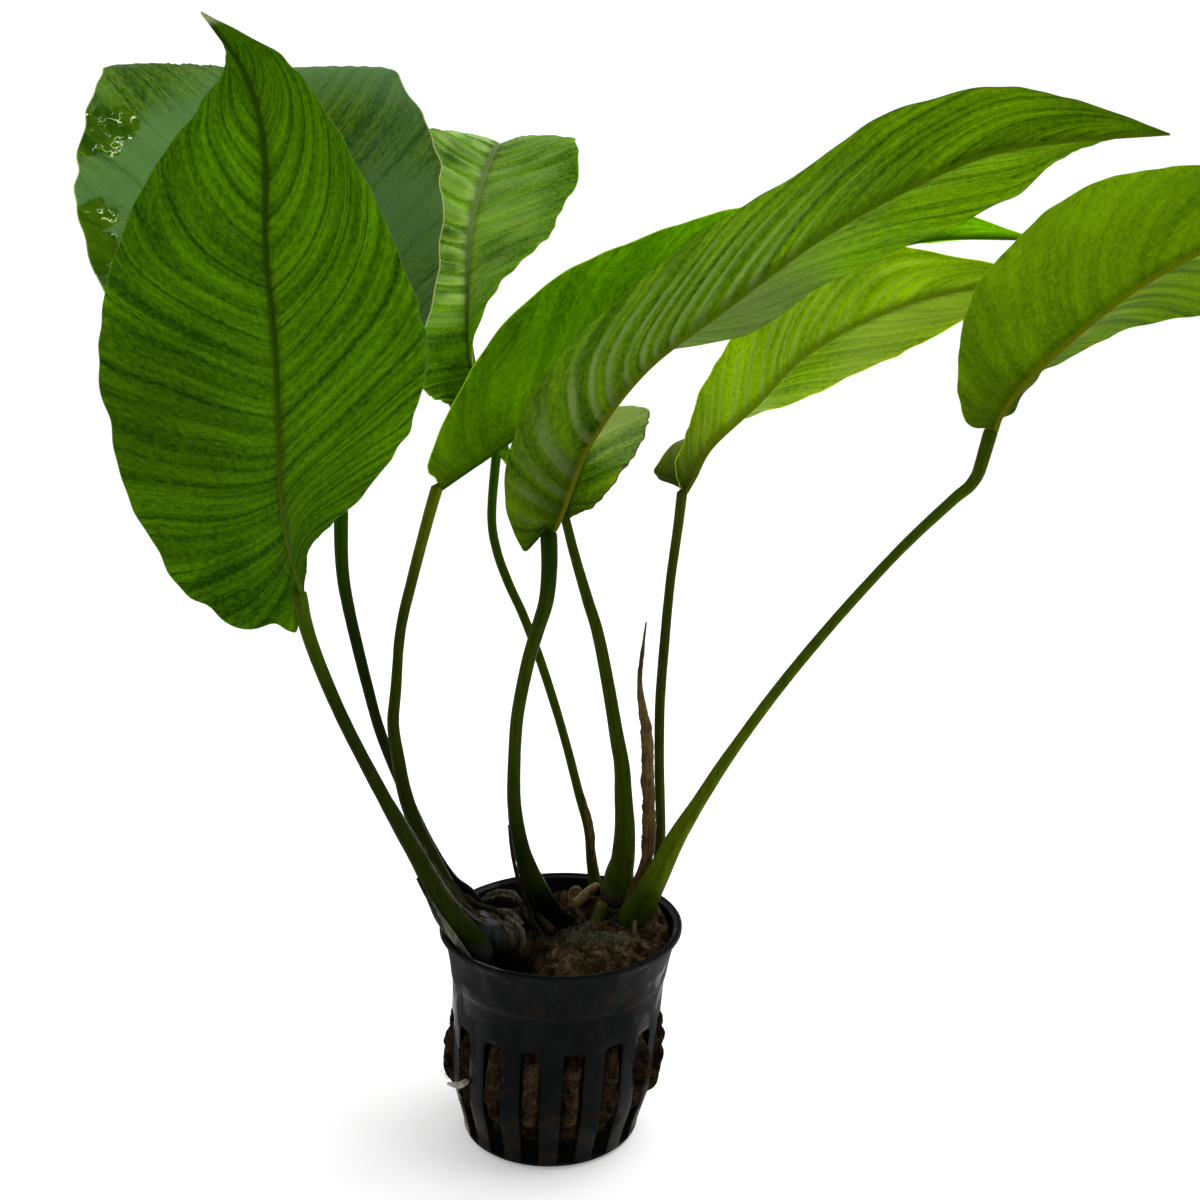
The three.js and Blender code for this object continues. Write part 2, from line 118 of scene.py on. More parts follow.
def ramp(value, low, high, to_low=0.0, to_high=1.0, kind="SMOOTHSTEP"):
    """Goes from to_low to to_high while the value goes from low to high, and is level beyond them."""
    return node(value.tree, "MapRange", {"Value": value, "From Min": low, "From Max": high, "To Min": to_low,
                                         "To Max": to_high}, interpolation_type=kind)


print("shader helpers are ready")

# %% Sky and panel
sky = bpy.data.worlds.new("studio sky")
sky.use_nodes = True
scene.world = sky
direction = node(sky.node_tree, "TexCoord", {}, "Generated")
depth = node(sky.node_tree, "SeparateXYZ", {"Vector": direction}, "Y")
feed(sky.node_tree.nodes["Background"].inputs,
     {"Color": (1, 1, 1), "Strength": ramp(depth, -0.9, 0.5, 0.25, 1.08, "LINEAR")})

panel = bpy.data.lights.new("soft panel", "AREA")
panel.energy, panel.shape, panel.size = 4.0, "DISK", 0.7
lamp = bpy.data.objects.new("soft panel", panel)
lamp.matrix_world = Matrix.Translation((0.35, 0.1, 0.75)) @ Matrix.Rotation(math.radians(25), 4, "Y")
scene.collection.objects.link(lamp)
scene.view_settings.view_transform = "Standard"
print("sky and panel are on")

# %% Floor
def new_finish(name, specular, roughness=0.5):
    finish = bpy.data.materials.new(name)
    finish.use_nodes = True
    shader = finish.node_tree.nodes["Principled BSDF"]
    feed(shader.inputs, {"Roughness": roughness, "Specular IOR Level": specular})
    return finish, finish.node_tree, shader


def coat(piece, finish):
    piece.data.materials.append(finish)
    return piece


bpy.ops.mesh.primitive_plane_add(size=8, location=(0, 0, -0.0003))
floor = bpy.context.object
floor.name = "floor"
floor_finish, tree, surface = new_finish("pale floor", 0.1, 0.9)
grain = node(tree, "TexNoise", {"Scale": 40.0, "Detail": 2.0})
feed(surface.inputs, {"Base Color": ramp(grain, 0, 1, 0.93, 0.96, "LINEAR"), "Emission Color": (1, 1, 1),
                      "Emission Strength": 0.3})
coat(floor, floor_finish)
print("floor is", round(floor.dimensions.x, 1), "m wide")

# %% [markdown]
# ## Guide lines
# Blades, stalks and roots are all long things that follow a line. One smooth line through a few points is easy
# to correct, so every such piece is a flat grid that is bent, row by row, along its guide line. Points are in
# millimetres, because they are easier to read, and become metres in the mesh.

# %% Smooth lines
CLUMP_X = 0.9        # the clump stands this far right of the pot's middle, mm


def smooth_line(points):
    """A function of t (0 to 1, an array) that gives places on a smooth line through the points."""
    p = np.array(points, float) + [CLUMP_X, 0, 0]
    p = np.vstack([2 * p[0] - p[1], p, 2 * p[-1] - p[-2]])
    spans = len(points) - 1

    def at(t):
        place = np.clip(t, 0, 1) * spans
        i = np.minimum(place.astype(int), spans - 1)
        w = (place - i)[:, None]
        a, b, c, d = p[i], p[i + 1], p[i + 2], p[i + 3]
        return 0.5 * (2 * b + (c - a) * w + (2 * a - 5 * b + 4 * c - d) * w ** 2
                      + (3 * b - a - 3 * c + d) * w ** 3)
    return at


def runs(points):
    """How far along a row of points each of them lies."""
    return np.concatenate([[0], np.cumsum(np.linalg.norm(np.diff(points, axis=0), axis=1))])


def even(line):
    """The same line, but with t spread evenly by length. Its length in mm comes with it."""
    t = np.linspace(0, 1, 400)
    run = runs(line(t))

    def spread(s):
        return line(np.interp(np.clip(s, 0, 1) * run[-1], run, t))
    return spread, runs(spread(np.linspace(0, 1, 60)))[-1]


def unit(v):
    return v / np.maximum(np.linalg.norm(v, axis=-1, keepdims=True), 1e-9)


def heading(line, t, step=1e-3):
    return unit(line(np.minimum(t + step, 1)) - line(np.maximum(t - step, 0)))


def ease(x, low, high):
    """0 below low, 1 above high, and a soft step between them."""
    s = np.clip((x - low) / (high - low), 0, 1)
    return s * s * (3 - 2 * s)


def between_ends(t, foot, tip):
    """1 along a piece, and softly 0 at both ends."""
    return ease(t, 0, foot) * ease(1 - t, 0, tip)


def rough(points, size, seed=0.0, octaves=2):
    """Soft random bumps, about -1 to 1, with features of the given size in mm."""
    value = np.zeros(len(points))
    for k in range(octaves):
        q = np.asarray(points) / (size / 2 ** k) + seed * 3.7 + k * 11.3
        value += np.array([noise.noise(Vector(v)) for v in q]) / 1.8 ** k
    return value


print("a test line is", round(float(even(smooth_line([[0, 0, 0], [0, 0, 10]]))[1]), 1), "mm long")

# %% [markdown]
# ## Rolled sheets
# A stalk is a rolled sheet, and so is a blade, if the roll is pressed flat: its first half is the upper skin
# and its second half the underside. So one helper makes both. It adds a grid, moves every corner to its place,
# welds the long seam, fills the two ends and turns all faces outwards. What the finish needs to know, such as
# how far a spot lies from the midrib, is stored on the corners as a named attribute.

# %% Rolled sheet
WELD = 1e-6          # corners closer than this are welded, metres


def corners(piece, what="co"):
    """The places of a piece's corners, in metres, or their normals."""
    flat = np.empty(len(piece.data.vertices) * 3)
    piece.data.vertices.foreach_get(what, flat)
    return flat.reshape(-1, 3)


def move_corners(piece, points):
    """Takes points in mm."""
    piece.data.vertices.foreach_set("co", (np.asarray(points) / 1000).ravel())
    piece.data.update()


def rolled(name, around, along, place):
    """place(u, t) gets two arrays, 0 to 1 around and along the roll. It returns points in mm and a dict of marks."""
    bpy.ops.mesh.primitive_grid_add(x_subdivisions=around, y_subdivisions=along, size=1, calc_uvs=True)
    piece = bpy.context.object
    piece.name = piece.data.name = name
    flat = corners(piece) + 0.5
    points, marks = place(flat[:, 0], flat[:, 1])
    move_corners(piece, points)
    for key, values in marks.items():
        stored = piece.data.attributes.new(key, "FLOAT", "POINT")
        stored.data.foreach_set("value", np.asarray(values, np.float32))
    bpy.ops.object.mode_set(mode="EDIT")
    bpy.ops.mesh.select_mode(type="VERT")
    bpy.ops.mesh.select_all(action="SELECT")
    bpy.ops.mesh.remove_doubles(threshold=WELD)
    bpy.ops.mesh.select_all(action="DESELECT")
    bpy.ops.mesh.select_non_manifold(use_wire=False, use_multi_face=False, use_non_contiguous=False, use_verts=False)
    bpy.ops.mesh.fill_holes(sides=0)
    bpy.ops.mesh.select_all(action="SELECT")
    bpy.ops.mesh.normals_make_consistent(inside=False)
    bpy.ops.object.mode_set(mode="OBJECT")
    bpy.ops.object.shade_smooth_by_angle(angle=math.radians(50))
    return piece


def choose(*pieces):
    """Selects these pieces and no others. The first is the active one."""
    bpy.ops.object.select_all(action="DESELECT")
    for piece in pieces:
        piece.select_set(True)
    bpy.context.view_layer.objects.active = pieces[0]


def join(pieces, name):
    """Makes one object of several, as grown-together parts are one piece."""
    choose(*pieces)
    if len(pieces) > 1:
        bpy.ops.object.join()
    pieces[0].name = pieces[0].data.name = name
    return pieces[0]


def settle_in(piece, node_name):
    """The piece rides on the plant's one body and stands for a piece of the frame."""
    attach(piece, "root")
    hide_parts(node_name)


def faces_of(piece):
    return sum(len(f.vertices) - 2 for f in piece.data.polygons)


print("rolled sheets are ready")

# %% [markdown]
# ## The look of a living blade
# Light shines through a blade. Between its side veins the tissue is thin and glows yellow-green, and along the
# veins and the midrib it is thick and dark. Streaks and fine lines run along the veins, clouds of lighter green
# lie across them, a painted pale sheen, a painted reflection of the bright sky, covers some halves, and each
# blade is darker towards its foot. A photograph wrapped on the blade would be quick, but patterns that follow
# the blade's own veins stay sharp at any size.
# They are built once as a node group, and each blade gets its own greens.

# %% Pattern helpers
def mix(amount, a, b, blend="MIX"):
    tree = (amount if isinstance(amount, Wire) else a).tree
    return node(tree, "Mix", {0: amount, 6: a, 7: b}, 2, data_type="RGBA", blend_type=blend)


def tinted(color, by):
    """A colour multiplied by another colour, or by one value."""
    return mix(1.0, color, by, "MULTIPLY")


def speckle(place, scale, detail=2.0, roughness=0.55):
    """Soft noise about 0.5. The larger its scale, the finer it is."""
    return node(place.tree, "TexNoise", {"Vector": place, "Scale": scale, "Detail": detail, "Roughness": roughness})


def join_xyz(x, y, z):
    return node(x.tree, "CombineXYZ", {0: x, 1: y, 2: z})


def how_far(place, centre, scale):
    """How far a place is from a centre, with each axis stretched by its own scale."""
    for operation, by in (("SUBTRACT", centre), ("MULTIPLY", scale)):
        place = node(place.tree, "VectorMath", {0: place, 1: by}, operation=operation)
    return node(place.tree, "VectorMath", {0: place}, "Value", operation="LENGTH")


def object_place(tree):
    return node(tree, "TexCoord", {}, "Object")


def new_group(name, inputs, outputs, pattern):
    """A node group. pattern(tree, take) works its outputs out. Colours are 3 numbers, and values are one."""
    tree = bpy.data.node_groups.new(name, "ShaderNodeTree")
    for key, default in inputs.items():
        color = isinstance(default, tuple)
        kind = "NodeSocketColor" if color else "NodeSocketFloat"
        socket = tree.interface.new_socket(key, in_out="INPUT", socket_type=kind)
        socket.default_value = (*default, 1) if color else default
    for key in outputs:
        kind = "NodeSocketColor" if key == "Color" else "NodeSocketFloat"
        tree.interface.new_socket(key, in_out="OUTPUT", socket_type=kind)
    take = tree.nodes.new("NodeGroupInput").outputs
    give = tree.nodes.new("NodeGroupOutput").inputs
    feed(give, pattern(tree, {key: Wire(take[key]) for key in inputs}))
    print(name, "group has", len(tree.nodes), "nodes")
    return tree


print("pattern helpers are ready")

# %% Blade tissue group
def blade_tissue(tree, take):
    place = object_place(tree)
    vein = take["Vein"] + (speckle(place, 90.0, 0.0) - 0.5) * 0.2
    right = maths("GREATER_THAN", take["Half"], 0.0)

    def by_half(left_value, right_value):
        return (1 - right) * left_value + right * right_value

    def along_veins(across_veins, outwards, detail, roughness=0.6):
        spot = join_xyz(vein * across_veins, take["Out"] * outwards, take["Half"])
        return speckle(spot, 1.0, detail, roughness)

    uneven = speckle(join_xyz(vein * 1.3, 0.0, take["Half"]), 1.0, 0.0)

    def near_line(per_vein, low, high):
        """1 on thin lines, so many to a vein but not evenly spread, and 0 between them."""
        at = maths("FRACT", vein * per_vein + uneven * (0.9 * per_vein))
        return ramp(abs(at - 0.5) * 2.0, low, high)

    patch = along_veins(0.5, 1.5, 1.0)
    band = along_veins(1.7, 1.8, 1.0)
    streak = along_veins(5.0, 4.0, 2.0, 0.75)
    thread = along_veins(15.0, 24.0, 0.0)
    cloud = speckle(place, 38.0, 1.0)
    cell = speckle(place, 1400.0, 1.0, 0.6)
    light = take["Shift"] + 0.62
    for value, strength in ((patch, 0.65), (band, 0.8), (streak, take["Streaks"]), (thread, 0.6),
                            (cloud, take["Clouds"]), (cell, 0.6)):
        light = light + (value - 0.5) * strength
    lines = (near_line(1.0, 0.45, 1.0) * ramp(patch, 0.3, 0.65, 0.15, 0.36)
             + near_line(2.6, 0.2, 1.0) * ramp(band, 0.3, 0.65, 0.12, 0.34)
             + near_line(6.5, 0.2, 0.95) * ramp(streak, 0.35, 0.6, 0.0, 0.16))
    lines = lines * by_half(take["Lines Left"], take["Lines Right"])
    color = mix(maths("SUBTRACT", light, lines, clamp=True), take["Dark"], take["Light"])

    # The pale sheen is a painted reflection of the sky. It lies in stripes between the veins, or as an even veil.
    saw = maths("FRACT", take["Vein"] * take["Stripes"])
    stripe = (ramp(saw, 0.0, 0.1) * ramp(saw, take["Stripe Width"], take["Stripe Width"] - 0.42)
              * ramp(take["Out"], 1.0, 0.6) * ramp(band, 0.3, 0.6, 0.25, 1.0))
    veil = ramp(cloud + thread * 0.25, 0.38, 0.7)
    veiled = by_half(take["Veil Left"], take["Veil Right"])
    painted_sheen = stripe * (1 - veiled) + veil * veiled
    wander = take["Along"] + (cloud - 0.5) * 0.3
    for stop, beyond in (("Sheen End", -0.2), ("Sheen Start", 0.12)):
        painted_sheen = painted_sheen * ramp(wander, take[stop], take[stop] + beyond)
    painted_sheen = painted_sheen * by_half(take["Sheen Left"], take["Sheen Right"]) * (1 - take["Wet"]) * (1 - lines * 0.8)
    color = mix(painted_sheen, color, tinted(take["Sheen"], by_half(take["Left Sheen Tone"], 1.0)))

    # Light and shade: beside the midrib, at the foot and the tip, on the left half and round one dim spot.
    shade = ramp(take["From Rib"], take["Rib Width"] * 2.4, take["Rib Width"], 1.0, 0.78, "LINEAR")
    foot_tone = ramp(take["Along"], 0.02, 0.45, 1 - take["Foot Dark"])
    away = how_far(place, join_xyz(take["Dim X"], 0.0, take["Dim Z"]), (1, 0, 1))
    dim = ramp(away, take["Dim Reach"], 0.0, 0.0, take["Dim"])
    tip_tone = 1 - take["Tip Dark"] * ramp(take["Along"], 0.55, 0.95)
    color = tinted(color, shade * foot_tone * by_half(take["Left Tone"], 1.0) * (1 - dim) * tip_tone)

    on_rib = ramp(take["From Rib"], take["Rib Width"], take["Rib Width"] * 0.6)
    rib_tone = mix(ramp(take["Along"], 0.15, 0.55), take["Rib"], take["Rib Tip"])
    rib_tone = mix(streak * 0.4, rib_tone, color)
    # The midrib is painted darker on the blade's left half, and half as much on its right: painted shade.
    rib_tone = mix(right * 0.5, tinted(rib_tone, (0.65, 0.7, 0.7)), rib_tone)
    color = mix(on_rib, color, rib_tone)
    color = mix(ramp(take["To Edge"], take["Edge Width"], 0.1), color, take["Edge"])
    color = mix(ramp(take["Along"], 0.968, 0.985) * take["Pale Tip"], color, (0.4, 0.48, 0.34))
    return {"Color": color, "Gloss": cell * 0.3 + cloud * 0.35 + 0.12, "Height": streak * 1.4 + cell * 0.4}


# The Sheen, Veil and Sheen Tone inputs set the painted sheen, a painted reflection of the sky. Left Tone, Foot Dark,
# Tip Dark and Dim set painted light and shade.
BLADE_TISSUE = new_group("blade tissue", {
    "Vein": 0.0, "Out": 0.0, "Half": 0.0, "From Rib": 5.0, "To Edge": 5.0, "Along": 0.0, "Wet": 0.0,
    "Dark": (0.02, 0.07, 0.001), "Light": (0.08, 0.2, 0.004), "Sheen": (0.16, 0.23, 0.1),
    "Rib": (0.02, 0.05, 0.001), "Rib Tip": (0.02, 0.06, 0.001), "Edge": (0.2, 0.3, 0.05),
    "Lines Left": 1.0, "Lines Right": 1.0, "Streaks": 0.8, "Clouds": 0.7, "Sheen Left": 0.0, "Sheen Right": 0.0,
    "Sheen Start": -1.0, "Sheen End": 2.0, "Stripes": 1.0, "Stripe Width": 0.6, "Veil Left": 0.0,
    "Veil Right": 0.0, "Left Sheen Tone": 1.0, "Pale Tip": 0.0, "Rib Width": 1.0, "Edge Width": 0.35,
    "Foot Dark": 0.4, "Tip Dark": 0.0, "Left Tone": 1.0, "Shift": 0.0, "Dim X": 0.0, "Dim Z": 0.0,
    "Dim Reach": 0.02, "Dim": 0.0,
}, ("Color", "Gloss", "Height"), blade_tissue)

# %% Blade finish
BLADE_MARKS = ("vein", "out", "half", "from_rib", "to_edge", "along")
GLOW, THROUGH = 0.45, (2.6, 2.2, 1.2)      # how much light passes through a blade, and what colour it takes


def use_group(tree, group, feeds):
    """from_rib and From_Rib both feed the socket From Rib."""
    new = tree.nodes.new("ShaderNodeGroup")
    new.node_tree = group
    feed(new.inputs, {key.replace("_", " ").title(): value for key, value in feeds.items()})
    return {socket.name: Wire(socket) for socket in new.outputs}


def read_marks(tree, names):
    return {name: node(tree, "Attribute", {}, "Fac", attribute_name=name) for name in names}


def bump(shader, height, distance):
    raised = node(height.tree, "Bump", {"Height": height, "Distance": distance})
    feed(shader.inputs, {"Normal": raised})
    return raised


def wet_film(tree, spots):
    """Where water lies on a blade, and the painted glints along the water's edges: painted white highlights."""
    place = object_place(tree)
    wobble = speckle(place, 300.0, 3.0)
    wet = painted_glints = 0.0
    for x, z, wide, high, low, full in spots:
        off = how_far(place, (x, 0, z), (1 / wide, 0, 1 / high)) + wobble * 1.4
        wet = maths("MAXIMUM", wet, ramp(off, 1.75, 1.6))
        painted_glints = maths("MAXIMUM", painted_glints, ramp(off, 1.75, 1.65) * ramp(off, low, full))
    curl = abs(speckle(place, 430.0, 2.0) - 0.5)
    broken = ramp(speckle(place, 260.0, 1.0), 0.47, 0.56)
    return wet, ramp(curl, 0.022, 0.01) * broken * painted_glints


def blade_finish(name, spots=(), **tissue):
    finish, tree, shader = new_finish(name, 0.02)
    wet, painted_glints = wet_film(tree, spots) if spots else (0.0, 0.0)
    out = use_group(tree, BLADE_TISSUE, dict(read_marks(tree, BLADE_MARKS), wet=wet, **tissue))
    color, gloss = out["Color"], out["Gloss"]
    if spots:
        # Painted white highlights, the glints of the water, go over the wet blade's colour.
        color = mix(painted_glints, mix(wet * 0.45, color, (0.03, 0.11, 0.004)), (0.8, 0.9, 0.9))
        gloss = maths("SUBTRACT", gloss, wet * 0.3, clamp=True)
    feed(shader.inputs, {"Base Color": color, "Roughness": gloss})
    raised = bump(shader, out["Height"], 0.00014)
    thin = node(tree, "BsdfTranslucent", {"Color": tinted(color, THROUGH), "Normal": raised})
    both = node(tree, "MixShader", {0: GLOW, 1: Wire(shader.outputs[0]), 2: thin})
    feed(tree.nodes["Material Output"].inputs, {"Surface": both})
    return finish


print("blade finish is ready")

# %% [markdown]
# ## Blades
# A blade is creased along its midrib, and each half arches and carries side veins that leave the midrib and
# sweep towards the tip. It hangs on three guide lines: the midrib and the two margins. Between the side veins
# the tissue is lifted in low pleats, and the margins ripple a little. The midrib stands out below as a rounded
# keel. All of this is in the mesh, so that the light falls on it as on the real blade.

# %% Blade shape
BLADE_COLUMNS, BLADE_ROWS = 96, 150
TIP = 0.12           # half the width that is left at a blade's tip, mm
SKIN = 0.2           # half a blade's thickness, mm


def beside(end, following, towards, distance):
    """A point beside the end of the midrib, square to it, towards a margin."""
    along = unit(following - end)
    out = towards - end
    return end + unit(out - along * out.dot(along)) * distance


def vein_places(out, t, rise, low):
    """Where along the midrib the side vein through each spot of the blade starts, 0 to 1."""
    starts = np.linspace(-0.35, 1.0, 240)
    lift = rise * (low + np.clip(starts, 0, 1) ** 1.4) * np.clip(1 - starts, 0, 2) ** 0.75
    found = np.empty_like(t)
    for step in np.unique(out):
        rows = out == step
        found[rows] = np.interp(t[rows], starts + lift * step ** 1.25, starts)
    return found


def make_blade(name, seed, rib, left, right, foot, ridge, crown, veins, rise, pleat, ruffle, waves=(),
               low=(0.06, 0.06), notched=0.07):
    """waves are (side, place, bulge in mm, spread): small bulges, or bays if below 0, along a margin."""
    rib = np.array(rib, float)
    lines = {0: smooth_line(rib)}
    for side, margin in ((-1, left), (1, right)):
        margin = np.array(margin, float)
        lines[side] = smooth_line(np.vstack([beside(rib[0], rib[1], margin[0], foot), margin,
                                             beside(rib[-1], rib[-2], margin[-1], TIP)]))

    def place(u, t):
        turn = np.round(1 - 4 * np.abs(u - 0.5), 6)
        side = np.where(turn < 0, -1, 1)
        out = np.round(np.abs(turn) ** 1.5, 6)
        centre, along = lines[0](t), heading(lines[0], t)
        across = {s: lines[s](t) - centre for s in (-1, 1)}
        ups = {s: unit(np.cross(across[s] * s, along)) for s in (-1, 1)}
        pick = (side > 0)[:, None]
        across = np.where(pick, across[1], across[-1])
        width = np.linalg.norm(across, axis=1)
        share = (0.5 + 0.5 * ease(out * width, 0, 1.6))[:, None]
        up = unit(np.where(pick, ups[1], ups[-1]) * share + np.where(pick, ups[-1], ups[1]) * (1 - share))
        start = np.where(side < 0, vein_places(out, t, rise, low[0]), vein_places(out, t, rise, low[1]))
        vein = veins * start + 0.25 * np.sin(start * 23 + seed) + 0.07 * np.sin(start * 61 + side * seed * 2)
        from_rib, to_edge = out * width, (1 - out) * width
        lift = 4 * out * (1 - out) * crown * width
        deep = np.where(side < 0, pleat[0], pleat[1]) * (0.75 + 0.5 * np.sin(start * 17 + side))
        room = ease(from_rib, 0.3, 5) * (1 - 0.55 * out ** 3) * between_ends(t, 0.06, 0.12)
        lift += deep * np.cos(2 * np.pi * vein) * -room
        ripple = np.sin(t * 27 + seed * 5 + side) + 0.6 * np.sin(t * 61 + seed * 3 + 2 * side)
        lift += ruffle * 0.5 * ripple * out ** 4 * between_ends(t, 0.1, 0.15)
        notch = np.sin(t * 97 + 3 * seed + side) + np.sin(t * 151 + seed) * np.sin(t * 19 + 2 * seed + side)
        bulge = notched * notch * out ** 8 * between_ends(t, 0.1, 0.1)
        for at_side, at, height, spread in waves:
            bulge = bulge + np.where(side == at_side, height * np.exp(-((t - at) / spread) ** 2) * out ** 6, 0)
        reach = out + bulge / np.maximum(width, 1)
        skin = SKIN * np.sqrt(np.clip(1 - np.abs(turn) ** 14, 0, 1))
        keel = (ridge * (1 - 0.85 * t)) * np.exp(-(from_rib / (0.62 * ridge * (1 - 0.6 * t) + 0.2)) ** 2)
        groove = -0.22 * np.exp(-(from_rib / 0.7) ** 2)
        lift += np.where(u > 0.5, -skin - keel, skin + groove)
        points = centre + across * reach[:, None] + up * lift[:, None]
        return points, {"vein": vein, "out": out, "half": side * 4.0, "from_rib": from_rib, "to_edge": to_edge,
                        "along": t}
    return rolled(name, BLADE_COLUMNS, BLADE_ROWS, place)


print("blade helper is ready")

# %% Blade guides
BLADES = {
    "front_left": dict(
        foot=1.1, ridge=1.0, crown=0.08,
        rib=[[-45, -26, 118.5], [-46, -29, 125], [-46, -34, 136], [-45, -38, 149], [-44, -43, 163],
             [-44, -47, 177], [-43, -50, 192], [-45, -52, 202], [-50.8, -53, 210.6]],
        left=[[-42.7, -23, 126.6], [-36, -23, 134], [-25, -27, 147], [-21, -32, 162], [-24, -38, 176],
              [-31, -44, 192], [-38.3, -50, 203.8]],
        right=[[-47.5, -23, 110.5], [-65.6, -22, 116.2], [-74, -27, 135], [-76, -33, 155], [-72, -38, 173],
               [-60, -44, 192], [-48.2, -50, 204]],
        veins=25, rise=0.62, notched=0.15, low=(0.3, 0.06), pleat=(0.28, 0.28), ruffle=0.9,
        waves=((1, 0.155, -1.8, 0.016), (1, 0.195, 0.8, 0.018), (1, 0.23, -1.1, 0.016), (1, 0.27, 0.5, 0.02),
               (1, 0.31, -0.6, 0.016), (1, 0.36, 0.5, 0.02), (1, 0.44, -0.7, 0.04), (1, 0.52, 0.4, 0.03),
               (1, 0.62, -0.6, 0.022), (1, 0.71, 0.4, 0.03), (1, 0.8, -0.5, 0.02),
               (-1, 0.07, -0.8, 0.04), (-1, 0.3, 0.3, 0.03))),
    "back_left": dict(
        foot=1.3, ridge=1.2, crown=0.02,
        rib=[[-42, 2, 130.5], [-46, 7, 142], [-52, 13, 160], [-57, 20, 183], [-61, 28, 205],
             [-65, 40, 218], [-70, 60, 216], [-75, 85, 202], [-78, 100, 182]],
        left=[[-53, 3, 135], [-78, 7, 151], [-94, 13, 182], [-97, 23, 202], [-96, 38, 218.5],
              [-99, 60, 215], [-95, 84, 203]],
        right=[[-37, 1, 138], [-28, 6, 156], [-23, 13, 183], [-26, 23, 204], [-36, 38, 218.5],
               [-43, 60, 215], [-56, 84, 204]],
        veins=30, rise=0.95, notched=0.3, pleat=(0.35, 0.2), ruffle=0.5, waves=((1, 0.56, -0.9, 0.05),)),
    "back_middle": dict(
        foot=0.9, ridge=1.1, crown=0.03,
        rib=[[-14, 30, 138.2], [-16, 33, 146], [-20, 38, 160], [-21, 44, 174], [-21, 49, 186],
             [-18, 56, 200], [-15, 64, 207], [-16, 85, 202], [-18, 106, 186]],
        left=[[-24.1, 32, 148.8], [-30, 35, 152], [-36, 37, 167], [-38, 43, 182], [-38, 51, 200],
              [-31, 60, 209.2], [-33, 84, 203]],
        right=[[-10, 34, 136], [-19, 31, 159], [-13.6, 36, 173.8], [-2.8, 43, 185.6], [3, 50, 197],
               [2.1, 58.5, 207.7], [0.4, 84, 198]],
        veins=27, rise=0.35, notched=0.12, pleat=(1.3, 0.65), ruffle=0.5, waves=((1, 0.56, -1.2, 0.04),)),
    "middle": dict(
        foot=1.2, ridge=1.2, crown=0.07,
        rib=[[-24, 10, 134], [-16, 12, 139.3], [0, 17, 150], [25, 24, 164], [50, 29, 175],
             [75, 34, 184], [102, 39, 185.2]],
        left=[[-20, 20, 138.2], [-5, 31, 169], [20, 41, 180], [50, 46, 181.5], [78, 44, 184.6]],
        right=[[-25, 6, 141], [-10, 9, 167], [16, 16, 183], [43, 23, 191], [73, 30, 192]],
        veins=16, rise=0.8, pleat=(0.15, 0.12), ruffle=0.6, waves=((1, 0.42, 0.7, 0.06),)),
    "front_right": dict(
        foot=1.5, ridge=1.25, crown=0.07,
        rib=[[-1, -12, 128.2], [1, -13, 132], [6.5, -15, 145.4], [16.4, -17, 158.5], [30, -19, 169],
             [46, -21, 181], [60, -23, 189], [74, -25, 195], [88, -27, 197], [103, -28, 198]],
        left=[[0, -4, 133], [5, 5, 147], [19, 7, 160], [35.5, 6, 164.2], [52, 2, 174], [67.8, -5, 182.3],
              [81.1, -14, 188.5], [90.7, -22, 196.7]],
        right=[[-5.9, -13, 124.7], [-8.9, -17, 138.2], [-1, -21, 158], [19, -24, 177], [35.2, -27, 187.8],
               [53, -28, 199], [72, -29, 205], [87, -29, 203]],
        veins=20, rise=1.1, pleat=(0.4, 0.4), ruffle=0.7,
        waves=((1, 0.59, -0.6, 0.04), (1, 0.69, 0.5, 0.04))),
    "short": dict(
        foot=0.9, ridge=0.9, crown=0.06,
        rib=[[1.7, 8, 127.9], [2.6, 10, 131.5], [5, 15, 138], [7, 21, 145], [9, 30, 148], [11, 44, 143],
             [10, 56, 133]],
        left=[[-3, 8, 130], [-4, 12, 139], [-2, 18, 146], [1, 28, 147], [3, 43, 143]],
        right=[[7.4, 6, 130.7], [13.6, 10, 137.7], [17.9, 16, 145], [18.4, 24, 149], [16, 43, 143]],
        veins=12, rise=0.7, notched=0.14, pleat=(0.25, 0.25), ruffle=0.5),
    "back_right": dict(
        foot=1.0, ridge=1.1, crown=0.07,
        rib=[[25.3, 12, 133.2], [27, 12, 136], [30.6, 12, 142.4], [40, 13, 151], [50, 14, 161],
             [65, 16, 169], [82, 18, 174], [105, 22, 176]],
        left=[[19.9, 19.5, 136.6], [29, 27, 144], [43, 26, 148], [54, 22, 153], [69.3, 20, 160.4],
              [84.3, 20, 168.3]],
        right=[[23.7, 8, 139], [26.2, 8, 147.2], [30.2, 8, 157.4], [40, 9, 171], [57, 11, 182], [80, 16, 180]],
        veins=19, rise=0.9, pleat=(0.3, 0.3), ruffle=0.6,
        waves=((-1, 0.06, 1.3, 0.035), (-1, 0.22, 0.9, 0.04))),
    "far_right": dict(
        foot=1.1, ridge=1.4, crown=0.07,
        rib=[[84, 0, 147], [85, -2, 151], [90, -4, 158], [99, -6, 167], [109, -8, 175],
             [122, -10, 182], [136, -12, 185], [151, -14, 186]],
        left=[[89.9, 6, 150.6], [98, 12, 158], [109.2, 14, 163.8], [120.2, 12, 168], [133, 8, 170],
              [144, -1, 176]],
        right=[[77.2, -6, 149.2], [74.5, -9, 162], [77.8, -12, 175.3], [91, -14, 189], [108, -14, 194.2],
               [127, -13, 194]],
        veins=16, rise=0.9, pleat=(0.3, 0.3), ruffle=0.6),
}
print("guides for", len(BLADES), "blades")
